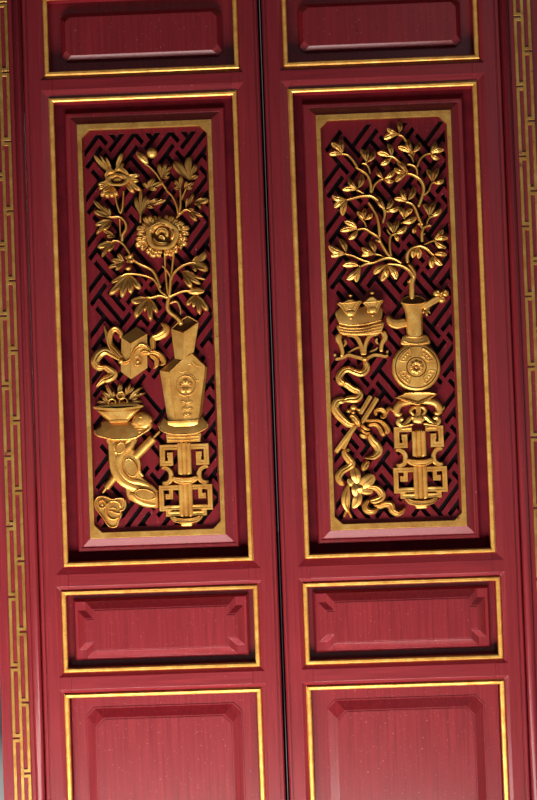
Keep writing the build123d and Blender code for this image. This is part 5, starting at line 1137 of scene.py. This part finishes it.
def noise(tree, place, scale, stretch=(1, 1, 1), detail=4.0, rough=0.55):
    """Noise in the object's own space, drawn out along an axis."""
    mapped = add(tree, "ShaderNodeMapping", [("Vector", place)])
    mapped.inputs["Scale"].default_value = stretch
    return add(tree, "ShaderNodeTexNoise", [("Vector", mapped.outputs[0])], Scale=scale, Detail=detail,
               Roughness=rough).outputs[0]


def ramp(tree, source, stops):
    """Colour that runs through stops of (place, colour)."""
    made = add(tree, "ShaderNodeValToRGB", [(0, source)])
    elements = made.color_ramp.elements
    while len(elements) < len(stops):
        elements.new(0.5)
    for element, (place, colour) in zip(elements, stops):
        element.position = place
        element.color = (*colour, 1)
    return made.outputs[0]


def blend_colour(tree, share, a, b):
    """Colour a where the share is nought and b where it is one; each is a socket or a value."""
    made = tree.nodes.new("ShaderNodeMix")
    made.data_type = "RGBA"
    for socket, value in ((made.inputs[0], share), (made.inputs[6], a), (made.inputs[7], b)):
        if isinstance(value, bpy.types.NodeSocket):
            tree.links.new(value, socket)
        else:
            socket.default_value = value if not isinstance(value, tuple) else (*value, 1)
    return made.outputs[2]


def level(tree, source, low, high, to_low=0.0, to_high=1.0):
    """Value carried from one range to another, and held at its ends."""
    made = add(tree, "ShaderNodeMapRange", [("Value", source)])
    for name, value in (("From Min", low), ("From Max", high), ("To Min", to_low), ("To Max", to_high)):
        made.inputs[name].default_value = value
    return made.outputs[0]


def maths(tree, operation, a, b=None):
    """Result of a math node on sockets, or on a socket and a number."""
    made = add(tree, "ShaderNodeMath", [(0, a)], operation=operation)
    if isinstance(b, bpy.types.NodeSocket):
        tree.links.new(b, made.inputs[1])
    elif b is not None:
        made.inputs[1].default_value = b
    return made.outputs[0]


def part_of(tree, source, axis):
    """One axis of a vector."""
    return add(tree, "ShaderNodeSeparateXYZ", [(0, source)]).outputs[axis]


def facing(tree, axis):
    """How far the surface faces along an axis of its own object."""
    return part_of(tree, tree.nodes["Texture Coordinate"].outputs["Normal"], axis)


def bump(tree, layers):
    """Chain of bump nodes from (height socket, strength, distance in millimetres)."""
    normal = None
    for height, strength, distance in layers:
        made = add(tree, "ShaderNodeBump", [("Height", height)], Strength=strength, Distance=distance * MM)
        if normal is not None:
            tree.links.new(normal, made.inputs["Normal"])
        normal = made.outputs[0]
    return normal


def lacquer(name, grain, deep=(0.145, 0.0075, 0.012), light=(0.275, 0.016, 0.022), gloss=0.36, coat=0.38,
            painted_shade_walls=False, painted_shade_edges=False):
    """Brushed oil lacquer, its brush strokes along the grain axis.

    Painted shade walls blacken the fret's slots, and painted shade edges darken and dull the stiles where the
    leaves meet.
    """
    made, tree, shader = material(name)
    place = add(tree, "ShaderNodeTexCoord").outputs["Object"]
    stretch = tuple(6 if axis == grain else 210 for axis in "XYZ")
    strokes = noise(tree, place, 1.0, stretch, detail=6.0, rough=0.65)
    clouds = noise(tree, place, 4.5, detail=3.0)
    pores = noise(tree, place, 1.0, tuple(30 if axis == grain else 900 for axis in "XYZ"), detail=2.0)
    colour = ramp(tree, strokes, [(0.30, deep), (0.70, light)])
    colour = blend_colour(tree, level(tree, clouds, 0.35, 0.7, 0.0, 0.55), colour, (0.190, 0.009, 0.016))
    dust = level(tree, noise(tree, place, 330.0, detail=1.0), 0.745, 0.775)
    colour = blend_colour(tree, dust, colour, (0.42, 0.17, 0.17))
    chips = level(tree, noise(tree, place, 75.0, detail=5.0), 0.735, 0.75)
    colour = blend_colour(tree, chips, colour, (0.055, 0.012, 0.012))
    if painted_shade_walls:
        # Painted shade: walls of the fret's slots, which face sideways, are painted near black.
        slot_wall_shade = level(tree, maths(tree, "ABSOLUTE", facing(tree, "Y")), 0.4, 0.7, 1.0, 0.0)
        colour = blend_colour(tree, slot_wall_shade, colour, (0.010, 0.004, 0.005))
    rough = level(tree, strokes, 0.3, 0.7, gloss - 0.06, gloss + 0.12)
    shader.inputs["Specular IOR Level"].default_value = lacquer_specular
    shader.inputs["Coat Weight"].default_value = coat
    if painted_shade_edges:
        # Painted shade: the stile faces across the gap between the leaves are darkened, and lose their gloss
        # and coat.
        edge = level(tree, maths(tree, "ABSOLUTE", facing(tree, "X")), 0.85, 0.95)
        colour = blend_colour(tree, edge, colour, (0.020, 0.005, 0.006))
        rough = maths(tree, "MAXIMUM", rough, edge)
        tree.links.new(level(tree, edge, 0, 1, lacquer_specular, 0.0), shader.inputs["Specular IOR Level"])
        tree.links.new(level(tree, edge, 0, 1, coat, 0.0), shader.inputs["Coat Weight"])
    tree.links.new(colour, shader.inputs["Base Color"])
    tree.links.new(rough, shader.inputs["Roughness"])
    tree.links.new(bump(tree, [(strokes, 0.35, 0.5), (pores, 0.12, 0.3), (clouds, 0.5, 1.2)]),
                   shader.inputs["Normal"])
    shader.inputs["Coat Roughness"].default_value = 0.2
    return made


def gilding(name, wear=0.0, tone=1.0):
    """Gold leaf over carved wood, with painted shade that browns it in the hollows and where it faces up,
    rubbed where wear is above zero.
    """
    made, tree, shader = material(name)
    place = add(tree, "ShaderNodeTexCoord").outputs["Object"]
    broad = noise(tree, place, 38.0, detail=3.0)
    fine = noise(tree, place, 420.0, detail=4.0, rough=0.6)
    tool = noise(tree, place, 150.0, detail=2.0)
    colour = ramp(tree, broad, [(0.30, (0.60 * tone, 0.26 * tone, 0.048 * tone)),
                                (0.55, (0.80 * tone, 0.41 * tone, 0.085 * tone)),
                                (0.75, (0.92 * tone, 0.56 * tone, 0.15 * tone))])
    colour = blend_colour(tree, level(tree, fine, 0.40, 0.30, 0.0, 0.45), colour, (0.34, 0.13, 0.035))
    hollow = add(tree, "ShaderNodeAttribute", attribute_name="hollow").outputs["Fac"]
    # Painted shade: faces turned up are browned.
    colour = blend_colour(tree, level(tree, facing(tree, "Z"), 0.12, 0.75, 0.0, 0.7), colour,
                          (0.24, 0.085, 0.022))
    # Painted shade in the hollows, from the hollow attribute.
    colour = blend_colour(tree, level(tree, hollow, 0.10, 0.85, 0.0, 0.92), colour, (0.075, 0.021, 0.009))
    if wear:
        rubbed = level(tree, noise(tree, place, 60.0, detail=7.0, rough=0.7), 0.68 - wear, 0.71 - wear)
        colour = blend_colour(tree, rubbed, colour, (0.17, 0.028, 0.02))
        tree.links.new(level(tree, rubbed, 0, 1, gilt_metal, 0.0), shader.inputs["Metallic"])
    else:
        shader.inputs["Metallic"].default_value = gilt_metal
    tree.links.new(colour, shader.inputs["Base Color"])
    sheen = level(tree, fine, 0.3, 0.7, 0.24, 0.42)
    # The painted shade of the hollows also roughens the gold there and dulls its gloss.
    rough = maths(tree, "ADD", sheen, level(tree, hollow, 0.2, 0.9, 0.0, 0.35))
    tree.links.new(rough, shader.inputs["Roughness"])
    tree.links.new(level(tree, hollow, 0.2, 0.9, 0.45, 0.08), shader.inputs["Specular IOR Level"])
    tree.links.new(bump(tree, [(tool, 0.35, 0.7), (fine, 0.30, 0.18)]), shader.inputs["Normal"])
    return made


def ground(side):
    """Matt black behind that leaf's fret, red round it and on the back."""
    made, tree, shader = material(f"{side}_ground")
    place = add(tree, "ShaderNodeTexCoord").outputs["Object"]
    soot = noise(tree, place, 30.0, detail=4.0)
    black = ramp(tree, soot, [(0.3, (0.004, 0.003, 0.004)), (0.75, (0.016, 0.007, 0.008))])
    red = ramp(tree, soot, [(0.3, (0.100, 0.006, 0.012)), (0.75, (0.190, 0.012, 0.020))])
    to_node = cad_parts[f"{side}_heart_board"].matrix_world.inverted()
    low, high = (to_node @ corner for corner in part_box(f"{side}_fret_board"))
    outside = level(tree, facing(tree, "Y"), -0.6, -0.3)
    for axis in (0, 2):
        off = maths(tree, "ABSOLUTE", maths(tree, "SUBTRACT", part_of(tree, place, axis),
                                            (low[axis] + high[axis]) / 2))
        half = (high[axis] - low[axis]) / 2
        outside = maths(tree, "MAXIMUM", outside, level(tree, off, half - 2.0 * MM, half - 1.0 * MM))
    tree.links.new(blend_colour(tree, outside, black, red), shader.inputs["Base Color"])
    tree.links.new(level(tree, soot, 0.3, 0.7, 0.75, 0.95), shader.inputs["Roughness"])
    tree.links.new(bump(tree, [(soot, 0.3, 0.4)]), shader.inputs["Normal"])
    shader.inputs["Specular IOR Level"].default_value = 0.1
    return made


def oiled_wood(name):
    """Dark hardwood of the pivots, its grain upright."""
    made, tree, shader = material(name)
    place = add(tree, "ShaderNodeTexCoord").outputs["Object"]
    grain = noise(tree, place, 1.0, (120, 120, 5), detail=7.0, rough=0.7)
    patches = noise(tree, place, 9.0, detail=3.0)
    colour = ramp(tree, grain, [(0.28, (0.055, 0.022, 0.012)), (0.5, (0.14, 0.062, 0.030)),
                                (0.74, (0.22, 0.105, 0.05))])
    colour = blend_colour(tree, level(tree, patches, 0.4, 0.7, 0.0, 0.5), colour, (0.085, 0.036, 0.02))
    tree.links.new(colour, shader.inputs["Base Color"])
    tree.links.new(level(tree, grain, 0.3, 0.7, 0.62, 0.42), shader.inputs["Roughness"])
    tree.links.new(bump(tree, [(grain, 0.5, 0.5)]), shader.inputs["Normal"])
    return made


upright_lacquer = lacquer("upright_lacquer", "Z")
level_lacquer = lacquer("level_lacquer", "X")
meeting_lacquer = lacquer("meeting_lacquer", "Z", painted_shade_edges=True)
# The fret's darker red is painted shade on the recessed board.
fret_lacquer = lacquer("fret_lacquer", "Z", deep=(0.090, 0.0045, 0.009), light=(0.190, 0.010, 0.016),
                       gloss=0.46, coat=0.04, painted_shade_walls=True)
carving_gilt = gilding("carving_gilt", tone=0.9)
bead_gilt = gilding("bead_gilt", wear=0.03)
# The fillet's and the lattice's gilding is toned down as painted shade.
fillet_gilt = gilding("fillet_gilt", wear=0.05, tone=0.66)
lattice_gilt = gilding("lattice_gilt", wear=0.06, tone=0.5)
grounds = {side: ground(side) for side in sides}
pivot_wood = oiled_wood("pivot_wood")

for name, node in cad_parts.items():
    if name.endswith("fret_board"):
        chosen, rounding = fret_lacquer, 0.5
    elif name.endswith("heart_board"):
        chosen, rounding = grounds[name.split("_")[0]], 0.0
    elif name.endswith("beads"):
        chosen, rounding = bead_gilt, 0.9
    elif name.endswith("gilt_fillet"):
        chosen, rounding = fillet_gilt, 0.9
    elif name.endswith(("pivot_post", "pivot_beam", "pivot_block")):
        chosen, rounding = pivot_wood, 1.2
    elif name.endswith(("rail", "head", "threshold")):
        chosen, rounding = level_lacquer, 0.8
    elif name.endswith("meeting_stile"):
        chosen, rounding = meeting_lacquer, 0.25
    else:
        chosen, rounding = upright_lacquer, 0.8
    node.data.materials.clear()
    node.data.materials.append(chosen)
    if rounding:
        soften(node, rounding)

# Carvings, and the angle in degrees past which their edges are crisp

facet_angle = 28.0
relief_angle = 42.0
carvings = {
    "left": {"peony_branch": carve_peony, "faceted_vase": carve_vase, "vase_stand": carve_vase_stand,
             "book_bundle": carve_bundle, "bonsai_table": carve_bonsai, "ruyi_head": carve_ruyi},
    "right": {"leafy_branch": carve_branch, "moon_flask": carve_flask, "flask_stand": carve_flask_stand,
              "casket": carve_casket, "clapper_ribbons": carve_clappers, "small_blossom": carve_blossom},
}
for side, carvers in carvings.items():
    for node, carve in carvers.items():
        hang(side, node, carve(), facet_angle if node == "faceted_vase" else relief_angle)


# Ring lattice on the jambs

ring_bar = 7.2
ring_long = 150.0
ring_pitch = 154.0
shortest_ring = 3 * ring_bar
ring_sink = 0.2
column_lift = 0.12
lattice_ground = 2.0


def lattice_piece(name, relief, corner, chosen):
    """Piece of the lattice, drawn from the lower left corner of the jamb's back face."""
    spots = np.array(relief.points)
    places = np.column_stack([corner.x + spots[:, 0] * MM, corner.y - spots[:, 2] * MM,
                              corner.z + spots[:, 1] * MM])
    mesh = bpy.data.meshes.new(name)
    mesh.from_pydata(places.tolist(), [], relief.faces)
    face_outwards(mesh)
    mesh.materials.append(chosen)
    piece = new_object(name, mesh)
    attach(piece, "frame")
    return piece


def ring_lattice(side):
    """Two staggered columns of long gilt rings that share their middle bar, on a red ground."""
    low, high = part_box(f"{side}_jamb_lattice")
    width, height, thick = ((high[i] - low[i]) / MM for i in (0, 2, 1))
    corner = Vector((low.x, high.y, low.z))
    rings = Relief()
    column = (width - ring_bar) / 2
    for k, (bottom, lift) in enumerate(((0.0, 0.0), (-ring_pitch / 2, column_lift))):
        left = ring_bar / 2 + k * column
        while bottom < height:
            v0, v1 = max(bottom, 0) + ring_bar / 2, min(bottom + ring_long, height) - ring_bar / 2
            if v1 - v0 > shortest_ring:
                strap(rings, [(left, v0), (left + column, v0), (left + column, v1), (left, v1)], ring_bar,
                      thick - ring_sink + lift, incised=0.0, closed=True)
            bottom += ring_pitch
    gilt = lattice_piece(f"{side}_lattice_rings", rings, corner, lattice_gilt)
    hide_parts(f"{side}_jamb_lattice")
    board = Relief()
    board.sheet([[(0, v, 0), (width, v, 0), (width, v, lattice_ground), (0, v, lattice_ground)]
                 for v in (0, height)], closed=True, caps=True)
    lattice_piece(f"{side}_lattice_ground", board, corner, level_lacquer)


for side in sides:
    ring_lattice(side)


# Floor, light, camera

floor_reach = 14.0
world_light = 0.14
photo_place = Vector((0.03118, -2.7392, 1.3869))
photo_turn = Vector((-0.0227124, 0.0156964, -0.0359771))


def looked_at(tree):
    """One for a ray from the camera, or from metal or glass, else nought."""
    rays = add(tree, "ShaderNodeLightPath").outputs
    return maths(tree, "MAXIMUM", maths(tree, "MAXIMUM", rays["Is Camera Ray"], rays["Is Transmission Ray"]),
                 rays["Is Glossy Ray"])


def make_floor():
    """Plain pale floor, brighter to the eye than it lights, with painted shade behind the door where that
    glow drops.
    """
    mesh = bpy.data.meshes.new("floor")
    corners = [(x * floor_reach, y * floor_reach, 0) for x, y in ((-1, -1), (1, -1), (1, 1), (-1, 1))]
    mesh.from_pydata(corners, [], [(0, 1, 2, 3)])
    floor = new_object("floor", mesh)
    made, tree, shader = material("pale_floor")
    shader.inputs["Base Color"].default_value = (0.74, 0.73, 0.71, 1)
    shader.inputs["Roughness"].default_value = 0.8
    shader.inputs["Emission Color"].default_value = (1.0, 0.98, 0.95, 1)
    depth = part_of(tree, add(tree, "ShaderNodeTexCoord").outputs["Object"], "Y")
    # Painted shade: the floor's glow drops behind the door.
    floor_glow_shaded_behind = maths(tree, "MULTIPLY", looked_at(tree), level(tree, depth, -0.3, 0.7, 0.5, 0.05))
    tree.links.new(floor_glow_shaded_behind, shader.inputs["Emission Strength"])
    mesh.materials.append(made)


def make_world():
    """Pale at the horizon, deeper overhead, with painted shade in the directions behind the door; seen at
    full strength, but lighting less.
    """
    world = bpy.data.worlds.new("studio")
    bpy.context.scene.world = world
    world.use_nodes = True
    tree = world.node_tree
    back = tree.nodes["Background"]
    towards = add(tree, "ShaderNodeTexCoord").outputs["Generated"]
    sky = ramp(tree, part_of(tree, towards, "Z"),
               [(0.02, (0.97, 0.98, 1.0)), (0.18, (0.30, 0.30, 0.32)), (0.5, (0.09, 0.095, 0.11))])
    # Painted shade: the world is darkened towards the back of the door.
    painted_shade_behind = level(tree, part_of(tree, towards, "Y"), 0.86, 0.99, 0.0, 0.9)
    tree.links.new(blend_colour(tree, painted_shade_behind, sky, (0.07, 0.068, 0.066)), back.inputs["Color"])
    tree.links.new(level(tree, looked_at(tree), 0, 1, world_light, 1.0), back.inputs["Strength"])


def lamp(name, place, target, width, height, power, colour):
    """Soft light of so many watts, aimed at its target and unseen by the camera."""
    data = bpy.data.lights.new(name, "AREA")
    data.shape = "RECTANGLE"
    data.size, data.size_y = width, height
    data.energy = power
    data.color = colour
    made = new_object(name, data)
    made.location = place
    made.visible_camera = False
    made.rotation_euler = (Vector(target) - Vector(place)).to_track_quat("-Z", "Y").to_euler()


def make_camera():
    """Camera where the photograph was taken, as solved from the panels' outlines."""
    data = bpy.data.cameras.new("camera")
    data.lens = 56.25
    data.sensor_width = 36.0
    camera = new_object("camera", data)
    turn = Matrix.Rotation(photo_turn.length, 3, photo_turn.normalized())
    look = turn @ Matrix(((1, 0, 0), (0, 0, -1), (0, 1, 0)))
    axes = Matrix((look[0], -look[1], -look[2])).transposed()
    camera.matrix_world = Matrix.Translation(photo_place) @ axes.to_4x4()
    bpy.context.scene.camera = camera


make_floor()
make_world()
lamp("ground_light", (-0.40, -1.0, 0.03), (-0.40, -0.95, 3.0), 2.1, 0.75, 82, (1.0, 0.96, 0.90))
lamp("high_light", (1.4, -2.8, 3.2), (0, 0, 1.2), 1.8, 1.8, 4, (0.95, 0.97, 1.0))
lamp("inside_light", (-1.1, 2.6, 2.0), (0, 0.1, 1.1), 1.6, 1.6, 34, (1.0, 0.98, 0.95))
make_camera()

bpy.context.scene.view_settings.view_transform = "Standard"
